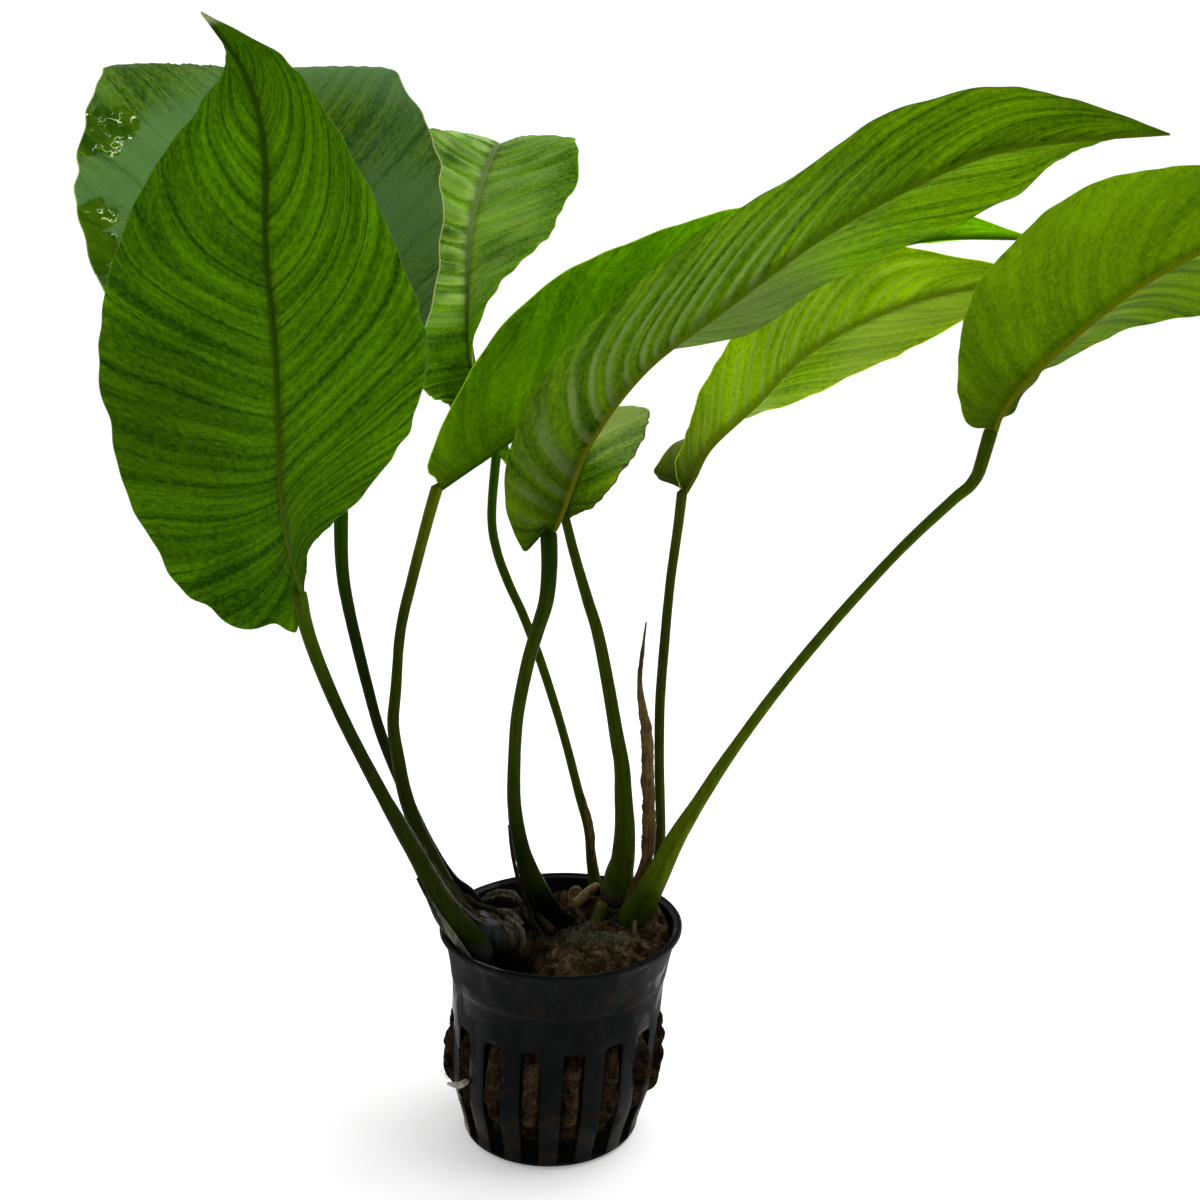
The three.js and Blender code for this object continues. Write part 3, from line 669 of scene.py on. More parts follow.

# %% [markdown]
# Each blade has its own greens. The big front blade is dark and saturated, the back left one has a painted grey
# sheen, a painted reflection of the sky, and the ones on the right are lighter yellow-green, partly their own colour
# and partly painted light for the light that shines through them.

# %% Blade greens
GREENS = {
    "front_left": dict(
        Dark=(0.018, 0.075, 0.0002), Light=(0.15, 0.33, 0.0003), Rib=(0.11, 0.18, 0.002),
        Rib_Tip=(0.028, 0.09, 0.0003), Edge=(0.12, 0.22, 0.04), Edge_Width=0.22, Rib_Width=0.65, Lines_Left=0.95,
        Lines_Right=0.9, Streaks=0.28, Clouds=0.45, Shift=-0.01, Foot_Dark=0.25, Dim_X=-0.067, Dim_Z=0.147,
        Dim_Reach=0.028, Dim=0.35, Pale_Tip=0.8),
    "back_left": dict(
        Dark=(0.033, 0.1, 0.002), Light=(0.2, 0.34, 0.006), Rib=(0.06, 0.1, 0.01), Rib_Tip=(0.05, 0.1, 0.01),
        Edge=(0.42, 0.52, 0.36), Sheen=(0.12, 0.225, 0.11), Sheen_Left=0.9, Sheen_Right=0.85, Left_Sheen_Tone=1.2,
        Veil_Left=1.0, Veil_Right=1.0, Foot_Dark=0.55, Lines_Left=0.8, Lines_Right=0.9, Clouds=1.0,
        spots=((-0.0932, 0.2035, 0.0085, 0.0055, 0.7, 0.9), (-0.0912, 0.1865, 0.0052, 0.0032, 0.7, 0.9),
        (-0.0912, 0.1795, 0.0046, 0.0055, 1.5, 1.7))),
    "back_middle": dict(
        Dark=(0.028, 0.1, 0.0004), Light=(0.25, 0.46, 0.012), Rib=(0.03, 0.08, 0.004), Rib_Tip=(0.3, 0.4, 0.24),
        Edge=(0.35, 0.5, 0.16), Edge_Width=0.2, Sheen=(0.31, 0.44, 0.22), Sheen_Left=1.0, Sheen_Right=0.7,
        Veil_Left=0.1, Veil_Right=0.3, Sheen_Start=0.26, Stripe_Width=0.85, Left_Sheen_Tone=1.25, Rib_Width=0.9,
        Foot_Dark=0.1, Clouds=0.6, Lines_Left=0.7, Lines_Right=0.6, Streaks=0.4),
    "middle": dict(
        Dark=(0.06, 0.16, 0.0002), Light=(0.26, 0.51, 0.0004), Rib=(0.04, 0.1, 0.001), Rib_Tip=(0.06, 0.14, 0.001),
        Edge=(0.4, 0.58, 0.02), Edge_Width=0.25, Lines_Left=0.25, Lines_Right=0.5, Streaks=0.35, Clouds=0.6,
        Foot_Dark=0.5, Tip_Dark=-0.2, Rib_Width=0.6, Left_Tone=1.1),
    "front_right": dict(
        Dark=(0.03, 0.1, 0.0002), Light=(0.235, 0.41, 0.0005), Rib=(0.2, 0.2, 0.004), Rib_Tip=(0.12, 0.2, 0.002),
        Edge=(0.08, 0.17, 0.005), Edge_Width=0.25, Sheen=(0.3, 0.39, 0.17), Sheen_Left=0.85, Sheen_Right=0.66,
        Sheen_Start=0.12, Sheen_End=0.66, Veil_Left=0.9, Veil_Right=0.06, Left_Sheen_Tone=0.5, Stripes=1.7,
        Stripe_Width=0.62, Rib_Width=0.7, Foot_Dark=0.66, Tip_Dark=0.12, Lines_Left=0.7, Lines_Right=0.8,
        Streaks=0.4, Clouds=0.6),
    "short": dict(
        Dark=(0.028, 0.11, 0.0003), Light=(0.33, 0.53, 0.008), Rib=(0.06, 0.12, 0.003), Rib_Tip=(0.1, 0.16, 0.01),
        Edge=(0.1, 0.09, 0.03), Sheen=(0.36, 0.44, 0.3), Sheen_Left=0.9, Sheen_Right=0.9, Veil_Left=0.7,
        Veil_Right=0.7, Sheen_Start=0.22, Rib_Width=0.5, Foot_Dark=0.6, Lines_Left=0.6, Lines_Right=0.6, Streaks=0.5),
    "back_right": dict(
        Dark=(0.09, 0.2, 0.0005), Light=(0.37, 0.56, 0.001), Rib=(0.14, 0.15, 0.003), Rib_Tip=(0.2, 0.28, 0.004),
        Edge=(0.5, 0.65, 0.03), Edge_Width=0.2, Rib_Width=0.65, Foot_Dark=0.82, Lines_Left=0.75, Lines_Right=0.4,
        Streaks=0.35, Sheen=(0.36, 0.46, 0.14), Sheen_Left=0.55, Veil_Left=0.9, Left_Sheen_Tone=0.8,
        Sheen_Right=0.35, Stripes=1.5, Stripe_Width=0.75),
    "far_right": dict(
        Dark=(0.06, 0.135, 0.0005), Light=(0.205, 0.35, 0.0006), Rib=(0.2, 0.2, 0.004), Rib_Tip=(0.2, 0.24, 0.004),
        Edge=(0.2, 0.34, 0.02), Edge_Width=0.2, Rib_Width=0.8, Foot_Dark=0.5, Lines_Left=0.8, Lines_Right=0.4,
        Streaks=0.35, Left_Tone=0.8, Sheen=(0.28, 0.42, 0.01), Sheen_Left=0.6),
}
for number, (key, guides) in enumerate(BLADES.items()):
    blade = make_blade(f"{key}_blade", number + 1.0, **guides)
    settle_in(coat(blade, blade_finish(f"{key} blade green", **GREENS[key])), f"{key}_leaf")
    print(blade.name, "has", faces_of(blade), "triangles")

# %% [markdown]
# ## Stalks
# A stalk is round and a little thicker where it leaves the stem and where it carries its blade. A cylinder
# with a curve modifier would do, but its thickness would be even. A rolled sheet takes its radius from a short
# list instead, and small random bumps keep it from looking turned.

# %% Tube helper
def frame_along(line, t):
    """Places on a line, and the two directions square to it: sideways, and away from the camera."""
    along = heading(line, t)
    wide = unit(np.stack([along[:, 2], np.zeros(len(t)), -along[:, 0]], 1))
    return line(t), wide, np.cross(wide, along)


def full_turn(u):
    """The angle round a roll. Its last column lies exactly on its first."""
    return 2 * np.pi * np.where(u > 0.9999, 0, u)


def circle(wide, deep, turn):
    return wide * np.cos(turn)[:, None] + deep * np.sin(turn)[:, None]


def make_tube(name, seed, path, radii, rings=(), around=18, per_mm=1.0, bumps=0.03, reach=0.0):
    """A round stem along a path. radii are spread evenly along it, and rings are (place, height, width) collars."""
    path = np.array(path, float)
    path = np.vstack([path, path[-1] + unit(path[-1] - path[-2]) * reach]) if reach else path
    line, length = even(smooth_line(path))

    def rounded(distance, radius):
        return np.sqrt(np.clip(1 - (1 - np.clip(distance / radius, 0, 1)) ** 2, 0.02, 1))

    def place(u, t):
        centre, wide, deep = frame_along(line, t)
        turn = full_turn(u)
        out = circle(wide, deep, turn)
        radius = np.interp(t, np.linspace(0, 1, len(radii)), radii)
        for at, height, width in rings:
            radius = radius + height * np.exp(-((t - at) * length / width) ** 2)
        ends = rounded(t * length, radii[0]) * rounded((1 - t) * length, radii[-1])
        points = centre + out * (radius * ends)[:, None]
        points += out * (bumps * rough(points, 2.4, seed) * ends)[:, None]
        return points, {"along": t, "side": np.cos(turn), "front": -np.sin(turn) * deep[:, 1]}
    return rolled(name, around, max(12, round(length * per_mm)), place)


print("tube helper is ready")

# %% [markdown]
# ## Sheaths
# At its foot each stalk is wrapped in a thin sheath, and the old leaves leave dry, papery ones behind. Both
# are thin strips that curl round a line and have ragged edges, so one helper makes them: a roll pressed flat,
# as for the blades, but only a tenth or two of a millimetre thick.

# %% Strip helper
def make_strip(name, seed, path, widths, curl=0.8, thick=0.12, ragged=0.25, crinkle=0.12, per_mm=1.6):
    """A thin curled strip. widths are half widths along it, and curl bends its edges back, in radians."""
    line, length = even(smooth_line(path))

    def place(u, t):
        swing = 1 - 4 * np.abs(u - 0.5)
        centre, wide, deep = frame_along(line, t)
        edge = np.stack([t * length, np.sign(swing) * 9, np.zeros(len(t))], 1)
        half = np.interp(t, np.linspace(0, 1, len(widths)), widths)
        half = half * (1 + ragged * rough(edge, 2.2, seed, 3) * np.abs(swing) ** 3)
        bend = swing * curl
        points = centre + wide * (half * np.sin(bend) / curl)[:, None]
        skin = np.where(u > 0.5, -1.0, 1.0) * thick / 2 * np.sqrt(np.clip(1 - np.abs(swing) ** 8, 0, 1))
        lump = crinkle * rough(np.stack([swing * 3, t * length * 0.35, np.full(len(t), seed)], 1), 1.1, seed, 3)
        points += deep * (half * (np.cos(bend) - 1) / curl + skin + lump)[:, None]
        return points, {}
    return rolled(name, 28, max(14, round(length * per_mm)), place)


print("strip helper is ready")

# %% [markdown]
# A stalk's colour runs from its foot to its blade: grey or black skin at the stem, bright or olive green above
# it, then darker green. Fine streaks run up it. The group takes four colours and the height along the stalk.

# %% Skin group
def stretched(place, upright):
    """The same place with its height shrunk, so that a pattern there is drawn out upwards."""
    return node(place.tree, "Mapping", {"Vector": place, "Scale": (1, 1, upright)})


def stalk_skin(tree, take):
    place = object_place(tree)
    streak = speckle(stretched(place, 0.12), 900.0, 3.0)
    spot = speckle(place, 420.0, 3.0)
    cloud = speckle(place, 120.0, 2.0)
    at = take["Along"] + (cloud - 0.5) * 0.1 + (streak - 0.5) * 0.06
    color = mix(ramp(at, take["Foot End"], take["Foot End"] * 1.6, kind="LINEAR"), take["Foot"], take["Low"])
    color = mix(ramp(at, take["Low End"], take["Low End"] + 0.25, kind="LINEAR"), color, take["Middle"])
    color = mix(ramp(at, 0.7, 1.0), color, take["Top"])
    color = mix(ramp(streak, 0.3, 0.7) * 0.5, color, tinted(color, (0.4, 0.45, 0.4)))
    # Down the front runs a groove, sunk in the relief and painted darker: painted shade in the groove.
    groove = ramp(abs(take["Side"] + 0.15), 0.3, 0.06) * ramp(take["Front"], 0.2, 0.5) * take["Groove"]
    color = mix(groove, color, tinted(color, (0.4, 0.5, 0.5)))
    color = mix(ramp(spot, 0.55, 0.68) * take["Dirt"], color, (0.014, 0.008, 0.003))
    return {"Color": color, "Gloss": ramp(spot, 0.3, 0.8, 0.3, 0.65), "Height": streak + spot - groove}


STALK_SKIN = new_group("stalk skin", {
    "Along": 0.0, "Side": 0.0, "Front": 0.0,
    "Foot": (0.05, 0.05, 0.04), "Low": (0.1, 0.15, 0.01), "Middle": (0.04, 0.07, 0.004),
    "Top": (0.05, 0.09, 0.004), "Foot End": 0.06, "Low End": 0.3, "Dirt": 0.2, "Groove": 0.4,
}, ("Color", "Gloss", "Height"), stalk_skin)


def stalk_finish(name, specular=0.015, relief=0.00012, **skin):
    finish, tree, shader = new_finish(name, specular)
    out = use_group(tree, STALK_SKIN, dict(read_marks(tree, ("along", "side", "front")), **skin))
    feed(shader.inputs, {"Base Color": out["Color"], "Roughness": out["Gloss"]})
    bump(shader, out["Height"], relief)
    return finish


# %% Papery finish
def paper_skin(tree, take):
    place = object_place(tree)
    fibre = speckle(stretched(place, 0.14), 1500.0, 4.0, 0.65)
    cloud = speckle(place, 260.0, 3.0)
    color = mix(ramp(fibre + (cloud - 0.5), 0.25, 0.75), take["Dark"], take["Light"])
    color = mix(ramp(cloud, 0.52, 0.66) * take["Stained"], color, take["Stain"])
    return {"Color": color, "Height": fibre + cloud}


PAPER_SKIN = new_group("papery skin", {
    "Dark": (0.08, 0.045, 0.02), "Light": (0.32, 0.22, 0.12), "Stain": (0.02, 0.012, 0.006), "Stained": 0.3,
}, ("Color", "Height"), paper_skin)


def paper_finish(name, roughness, specular, dark, light, stain, stained, relief=0.00015):
    finish, tree, shader = new_finish(name, specular, roughness)
    out = use_group(tree, PAPER_SKIN, dict(dark=dark, light=light, stain=stain, stained=stained))
    feed(shader.inputs, {"Base Color": out["Color"]})
    bump(shader, out["Height"], relief)
    return finish


ORANGE_PAPER = paper_finish("dry orange brown sheath", 0.6, 0.1, (0.035, 0.016, 0.003), (0.13, 0.085, 0.02),
                            (0.012, 0.006, 0.002), 0.5)
DARK_PAPER = paper_finish("black brown sheath", 0.6, 0.08, (0.003, 0.002, 0.001), (0.022, 0.014, 0.006),
                          (0.004, 0.003, 0.002), 0.6)
STRAND_PAPER = paper_finish("brown grey strand", 0.7, 0.08, (0.01, 0.006, 0.002), (0.065, 0.05, 0.022),
                            (0.006, 0.004, 0.002), 0.6)
FILM = paper_finish("thin white membrane", 0.4, 0.2, (0.04, 0.04, 0.028), (0.14, 0.145, 0.105),
                    (0.03, 0.028, 0.015), 0.4)
TORN_PAPER = paper_finish("torn tan bark", 0.7, 0.1, (0.02, 0.014, 0.006), (0.17, 0.155, 0.11),
                          (0.03, 0.02, 0.008), 0.6, 0.0003)
print("papery finishes are ready")

# %% [markdown]
# Each stalk has its path and its radii, from its foot to its blade, then its skin, and last the strips of old
# sheath that cling to it: a path, half widths and a finish.

# %% Stalk guides
STALK_REACH = 1.3        # how far a stalk runs on into its blade, mm
STALK_SWELL = 1.1        # the radii below are multiplied by this
STALKS = {
    "front_left": (
        [[-13.9, -5.6, 38.4], [-15.6, -6.4, 41], [-18.5, -8.4, 46.3], [-21.3, -9.7, 50.5], [-23, -10.9, 54.6],
        [-26, -13.3, 62.8], [-29.4, -15.5, 70.6], [-37, -20.3, 89.2], [-41.2, -23, 101], [-44, -25, 111],
        [-45, -26, 118]],
        [3.3, 2.6, 1.75, 1.4, 1.2, 1.1, 1.1, 1.15, 1.2]),
    "back_left": (
        [[-17, 8, 44], [-18.8, 8, 47.1], [-22.4, 8, 50.5], [-26.8, 8, 58.2], [-30.2, 8, 65.8], [-33.2, 8, 73.3],
        [-36.5, 7.5, 82.7], [-38.6, 6.2, 92.2], [-41.5, 4, 108], [-42.5, 2, 118], [-42.5, 2, 129.6]],
        [1.7, 1.15, 1.05, 1.05, 1.0, 1.05, 1.1, 1.2, 1.35]),
    "back_middle": (
        [[8.6, 16, 44], [7.8, 16, 49], [7.3, 16, 52.5], [6.5, 16, 59.5], [4.7, 16, 66.4], [1.2, 17.4, 79.6],
        [-3.3, 19.6, 93.6], [-7.5, 22.1, 104.3], [-11, 24.1, 111.5], [-13.7, 25.9, 118.6], [-14.8, 27.7, 125.9],
        [-14, 30, 137.6]],
        [1.4, 0.9, 0.9, 0.85, 0.9, 0.9, 0.9, 0.9, 0.95]),
    "middle": (
        [[-17, 2.5, 43.4], [-18.6, 2, 45.4], [-21.4, 1.1, 49.6], [-24.9, 0, 57.5], [-28.2, -0.5, 65.1],
        [-30.5, -1, 72.6], [-31.8, -0.5, 79.7], [-32.7, -0.1, 86.8], [-32.3, 1.6, 93.5], [-31.5, 4, 105],
        [-29.4, 7, 115], [-26.3, 9, 127], [-24.5, 9.9, 133.2]],
        [2.0, 1.6, 1.45, 1.3, 1.1, 0.95, 1.0, 1.05, 1.15]),
    "front_right": (
        [[2.6, 6.6, 38.6], [-0.8, 4.7, 43.2], [-2.6, 3.5, 47.2], [-5.4, 1.6, 54.7], [-7.2, -0.4, 62.1],
        [-8.1, -2.4, 69.3], [-8.2, -4.4, 76.5], [-7.4, -7.3, 89.7], [-5.4, -9.7, 100.7], [-3.5, -10.6, 107.8],
        [-1.5, -11.5, 114.6], [-0.9, -12, 121.3], [-1, -12, 127.3]],
        [3.1, 2.4, 1.6, 1.3, 1.15, 1.15, 1.2, 1.35, 1.5]),
    "short": (
        [[12.6, 12, 43], [13.4, 11.5, 50.9], [14.1, 11.3, 54.4], [14.4, 11, 61.4], [14, 11, 68.2],
        [13.6, 10.6, 75.1], [12.4, 10.1, 81.9], [10.6, 10, 92.4], [8.4, 9.2, 103.5], [6.2, 9, 110.8],
        [3.6, 8.8, 119.7], [1.7, 8, 127.2]],
        [3.9, 2.35, 1.85, 1.5, 1.3, 1.2, 1.1, 0.95, 0.85]),
    "back_right": (
        [[18.6, 10.4, 42.6], [20.4, 10.7, 47.9], [21.2, 10.9, 51.2], [21.8, 11, 56.3], [22, 11, 61.5],
        [21.5, 11, 75], [21.4, 11, 88], [22, 11, 99.6], [23.1, 11.7, 114], [24.4, 12, 124.7], [25.2, 12, 132.4]],
        [1.5, 1.0, 0.95, 0.95, 0.95, 0.95, 0.9, 0.9, 1.0]),
    "far_right": (
        [[15.1, 7, 39.9], [18, 6.1, 46.2], [21.4, 5.1, 53.5], [24.9, 5, 61.1], [29, 4.2, 68.7], [35.4, 4, 79.5],
        [44.7, 2.6, 93.9], [55.5, 1.2, 108.6], [67.6, 0.1, 123.2], [77.6, 0, 133.3], [80.1, 0, 135.4],
        [81.8, 0, 137.9], [82.6, 0, 140.7], [83.9, 0, 146.3]],
        [3.5, 2.2, 1.35, 1.05, 1.0, 0.95, 0.9, 1.0, 1.3]),
}
SKINS = {
    "front_left": dict(
        Foot=(0.022, 0.021, 0.021), Low=(0.016, 0.025, 0.0004), Middle=(0.015, 0.026, 0.0004),
        Top=(0.048, 0.088, 0.0006), Foot_End=0.055, Low_End=0.35, Dirt=0.35),
    "back_left": dict(
        Foot=(0.0015, 0.001, 0.0006), Low=(0.012, 0.016, 0.0005), Middle=(0.01, 0.019, 0.0004),
        Top=(0.018, 0.056, 0.0003), Foot_End=0.16, Low_End=0.35),
    "back_middle": dict(
        Foot=(0.05, 0.06, 0.002), Low=(0.036, 0.055, 0.001), Middle=(0.034, 0.062, 0.0006),
        Top=(0.036, 0.095, 0.0005), Foot_End=0.03, Low_End=0.25),
    "middle": dict(
        Foot=(0.012, 0.008, 0.002), Low=(0.016, 0.024, 0.0005), Middle=(0.03, 0.045, 0.0006),
        Top=(0.11, 0.15, 0.001), Foot_End=0.04, Low_End=0.35),
    "front_right": dict(
        Foot=(0.001, 0.0007, 0.0004), Low=(0.012, 0.019, 0.0004), Middle=(0.029, 0.047, 0.0006),
        Top=(0.013, 0.029, 0.0003), Foot_End=0.12, Low_End=0.3),
    "short": dict(
        Foot=(0.05, 0.045, 0.026), Low=(0.036, 0.055, 0.0005), Middle=(0.032, 0.05, 0.0005),
        Top=(0.03, 0.058, 0.0005), Foot_End=0.04, Low_End=0.25, Dirt=0.4),
    "back_right": dict(
        Foot=(0.06, 0.09, 0.001), Low=(0.05, 0.062, 0.001), Middle=(0.032, 0.045, 0.001), Top=(0.055, 0.068, 0.002),
        Foot_End=0.04, Low_End=0.2),
    "far_right": dict(
        Foot=(0.035, 0.06, 0.001), Low=(0.08, 0.12, 0.001), Middle=(0.048, 0.085, 0.0008),
        Top=(0.045, 0.082, 0.0008), Foot_End=0.07, Low_End=0.32),
}
SHEATHS_ON_STALKS = {
    "front_left": [
        ([[-24.8, -13, 56.2], [-22.3, -13.1, 51.7], [-20, -13.4, 47.6], [-17.9, -13.2, 44.5], [-16.1, -12.6, 41.9]],
        [0.15, 0.35, 0.7, 0.85, 0.3], FILM),
        ([[-30.5, -16.7, 76.6], [-27.3, -14.7, 69.4], [-23.8, -12.4, 61.6], [-20.2, -9.8, 54], [-17.1, -8, 49.9],
        [-14, -6.4, 46.8]], [0.1, 0.3, 0.35, 0.35, 0.4, 0.2], FILM)],
    "back_middle": [
        ([[7.6, 14.6, 52], [7.5, 14.6, 57], [6.6, 14.7, 62], [5.2, 15, 68]], [0.3, 0.7, 0.8, 0.2], ORANGE_PAPER)],
    "middle": [
        ([[-29.2, 0.4, 71], [-26.2, 0.4, 62.6], [-22.6, 0.6, 53.2]], [0.12, 0.3, 0.25], FILM),
        ([[-23, -0.9, 55.8], [-19.8, 1.6, 50.2], [-16.2, 3, 46.9], [-12.3, 4, 45], [-10.3, 4, 42.1]],
        [0.2, 0.7, 0.8, 0.7, 0.3], STRAND_PAPER),
        ([[-23.5, 0, 54.1], [-21.3, 0, 51], [-18.8, 0, 47.6], [-16, 0, 45.6], [-13.1, 0, 44.6]],
        [0.2, 0.6, 0.9, 0.9, 0.4], STRAND_PAPER),
        ([[-22.9, -1.6, 54.6], [-20.4, -1.8, 50.6], [-17.4, -2, 47], [-14.6, -2.6, 46.2]], [0.1, 0.25, 0.3, 0.2],
        FILM)],
    "front_right": [
        ([[-7.4, 1, 47.6], [-4.8, 0.4, 44.2], [-3, 0.2, 42], [-0.6, 0.4, 39.6]], [0.2, 0.6, 0.7, 0.4], STRAND_PAPER),
        ([[-5.4, 0.4, 46], [-3.4, -0.6, 43], [-2.4, -1, 40.4]], [0.2, 0.5, 0.3], DARK_PAPER)],
    "short": [
        ([[15.2, 9.8, 53], [15.5, 9.7, 60], [15.1, 9.8, 66], [14.4, 9.9, 69.5]], [0.7, 0.6, 0.45, 0.1], DARK_PAPER),
        ([[8.4, 9, 45.4], [10.1, 8, 44], [12.5, 7.7, 43.6], [14.8, 8, 44.1], [16.9, 9, 45.6]],
        [0.3, 0.6, 0.7, 0.7, 0.4], STRAND_PAPER)],
}
for number, (key, (path, radii)) in enumerate(STALKS.items()):
    stem = make_tube(f"{key}_stem", number + 1.0, path, [STALK_SWELL * radius for radius in radii],
                     reach=STALK_REACH)
    parts = [coat(stem, stalk_finish(f"{key} stalk green", **SKINS[key]))]
    for k, (path, widths, paper) in enumerate(SHEATHS_ON_STALKS.get(key, [])):
        parts.append(coat(make_strip(f"{key}_sheath_{k}", number + k + 2.0, path, widths), paper))
    settle_in(join(parts, f"{key}_stem"), f"{key}_stalk")
print("stalks made:", len(STALKS))

# %% [markdown]
# ## Dry sheaths
# Four sheaths of old leaves stand on their own between the stalks, brown and curled.

# %% Dry sheaths
DRY_SHEATHS = {
    "tall": (
        [[14.6, 7.6, 44.4], [16.4, 7.4, 48.8], [18.7, 7.2, 54], [19.4, 7, 58.4], [19.4, 6.9, 64.4], [19, 6.6, 73.2],
        [18.6, 6.4, 83], [17.6, 6.3, 89], [17, 6, 95.3], [18.1, 6, 107]],
        [1.2, 1.6, 1.9, 1.95, 1.9, 1.75, 1.5, 0.8, 0.6, 0.2], 1.3, ORANGE_PAPER),
    "outer": (
        [[-16, -10.6, 42.6], [-18.2, -11, 45.6], [-21.4, -12, 49.6], [-24.2, -12.8, 54.6], [-26.6, -13.6, 59.5]],
        [1.0, 1.1, 0.9, 0.3], 0.9, DARK_PAPER),
    "inner": (
        [[-15.3, -3.4, 45.4], [-18.8, -4.2, 49.9], [-22, -4.6, 54.2], [-25.6, -4.6, 60.2], [-28.8, -5, 65.7],
        [-31.9, -5, 70.9]], [1.0, 1.0, 0.9, 0.85, 0.7, 0.15], 0.9, STRAND_PAPER),
    "slim": (
        [[-4.9, 0.8, 46.4], [-6.3, 0.2, 49.4], [-7.5, -0.8, 53.9], [-8.6, -2.4, 60], [-9.4, -3.6, 67]],
        [0.6, 0.55, 0.5, 0.4, 0.15], 0.8, DARK_PAPER),
}
for number, (key, (path, widths, curl, paper)) in enumerate(DRY_SHEATHS.items()):
    sheath = make_strip(f"{key}_sheath", number + 4.0, path, widths, curl, thick=0.2)
    settle_in(coat(sheath, paper), f"{key}_dry_sheath")
print("dry sheaths made:", len(DRY_SHEATHS))

# %% [markdown]
# ## Creeping stem and roots
# The stem creeps over the wool as three lengths, ringed where old leaves sat. Strips of torn bark hang on two of
# them, and short roots on the middle one. Roots and stubs are short tubes.

# %% Creeping stem
BLUE_BARK = stalk_finish("blue grey bark", 0.2, 0.0003, Foot=(0.012, 0.01, 0.006), Low=(0.018, 0.019, 0.022),
                         Middle=(0.02, 0.02, 0.02), Top=(0.07, 0.052, 0.026), Foot_End=0.25, Low_End=0.62, Dirt=0.5,
                         Groove=0.0)
BLACK_BARK = stalk_finish("black wet bark", 0.1, 0.0003, Foot=(0.003, 0.002, 0.001), Low=(0.005, 0.003, 0.002),
                          Middle=(0.006, 0.004, 0.002), Top=(0.006, 0.004, 0.002), Dirt=0.5, Groove=0.0)
GREEN_BARK = stalk_finish("dark green bark", 0.08, 0.0003, Foot=(0.006, 0.005, 0.002), Low=(0.012, 0.014, 0.002),
                          Middle=(0.016, 0.026, 0.001), Top=(0.02, 0.036, 0.001), Foot_End=0.3, Low_End=0.4, Dirt=0.6,
                          Groove=0.0)
ROOTSTOCKS = {
    "left": ([[-17, 8, 41.5], [-15.5, 2, 42], [-12.5, -2.2, 42.2], [-7.6, -1.6, 42.2]], [2.6, 3.2, 3.5, 3.2],
             [(0.66, 0.12, 0.35), (0.74, 0.16, 0.3), (0.81, 0.18, 0.3), (0.87, 0.22, 0.3), (0.93, 0.25, 0.35)],
             BLUE_BARK),
    "middle": ([[-7.5, 11.5, 41.8], [-3, 9.5, 41.2], [3, 7.5, 40]], [2.2, 2.8, 2.9],
               [(0.3, 0.4, 0.8), (0.6, 0.5, 0.8)], BLACK_BARK),
    "right": ([[9, 16, 41.4], [12.6, 11, 41], [15.5, 7.4, 40.4]], [2.3, 3.2, 3.3],
              [(0.3, 0.3, 0.7), (0.62, 0.3, 0.7)], GREEN_BARK),
}
TORN_BARK = {        # a path, half widths, curl, crinkle and raggedness
    "left": [
        ([[-17.6, 13, 42.7], [-15, 13.4, 43.8], [-12.4, 13.6, 44.6], [-9.8, 13.4, 44], [-6.6, 12.6, 42.6]],
         [0.7, 1.2, 1.7, 1.2, 0.4], 1.1, 0.5, 0.5),
        ([[-11.2, -4.6, 46.4], [-9.4, -5.1, 45], [-8.6, -5.4, 42.6], [-9, -5.2, 40.4]],
         [0.5, 0.7, 0.8, 0.4], 0.9, 0.3, 0.5),
        ([[-10, -3, 47], [-7.6, -4, 45.2], [-6.4, -4.6, 42.6], [-6.9, -4.4, 40]],
         [0.4, 0.9, 0.9, 0.4], 0.9, 0.35, 0.6),
        ([[-13, 2, 46.4], [-9.6, 0.6, 46], [-6.8, -0.4, 44]], [0.8, 1.1, 0.7], 1.0, 0.4, 0.6)],
    "middle": [
        ([[-8.6, 8, 44], [-5.6, 6.6, 43.4], [-3.6, 5.4, 41.6]], [0.4, 0.9, 0.4], 0.8, 0.3, 0.25),
        ([[-1.6, 10.4, 45.6], [0.6, 9, 43.8], [2.4, 7.6, 41.6]], [0.3, 0.8, 0.5], 0.8, 0.3, 0.25)],
}
SHORT_ROOTS = [([[2.5, 8, 45], [4.6, 8, 42.9], [6.7, 8, 40.6]], 0.75), ([[-0.1, 8, 45], [1.2, 8, 42.7]], 0.5),
               ([[-0.9, 8.6, 46.3], [0.8, 8.6, 44.4]], 0.45), ([[3.6, 10, 44], [5.4, 8.6, 42.2]], 0.5),
               ([[1.4, 6.6, 43.6], [2.6, 6.2, 41.2]], 0.5), ([[4.6, 6.4, 42.6], [5.4, 5.6, 40.4]], 0.45)]
for number, (key, (path, radii, rings, bark)) in enumerate(ROOTSTOCKS.items()):
    stem = make_tube(f"{key}_stem_length", number + 2.0, path, radii, rings, around=48, per_mm=5.0, bumps=0.3)
    parts = [coat(stem, bark)]
    for k, (path, widths, curl, crinkle, ragged) in enumerate(TORN_BARK.get(key, [])):
        strip = make_strip(f"{key}_torn_bark_{k}", number + k + 7.0, path, widths, curl, crinkle=crinkle,
                           ragged=ragged, per_mm=4.0)
        parts.append(coat(strip, TORN_PAPER if key == "left" else STRAND_PAPER))
    for k, (path, radius) in enumerate(SHORT_ROOTS if key == "middle" else []):
        root = make_tube(f"short_root_{k}", k + 3.0, path, [radius, radius * 0.9], around=14, per_mm=4.0, bumps=0.15)
        parts.append(coat(root, STRAND_PAPER))
    settle_in(join(parts, f"{key}_stem_length"), f"{key}_rootstock")
print("stem lengths made:", len(ROOTSTOCKS))

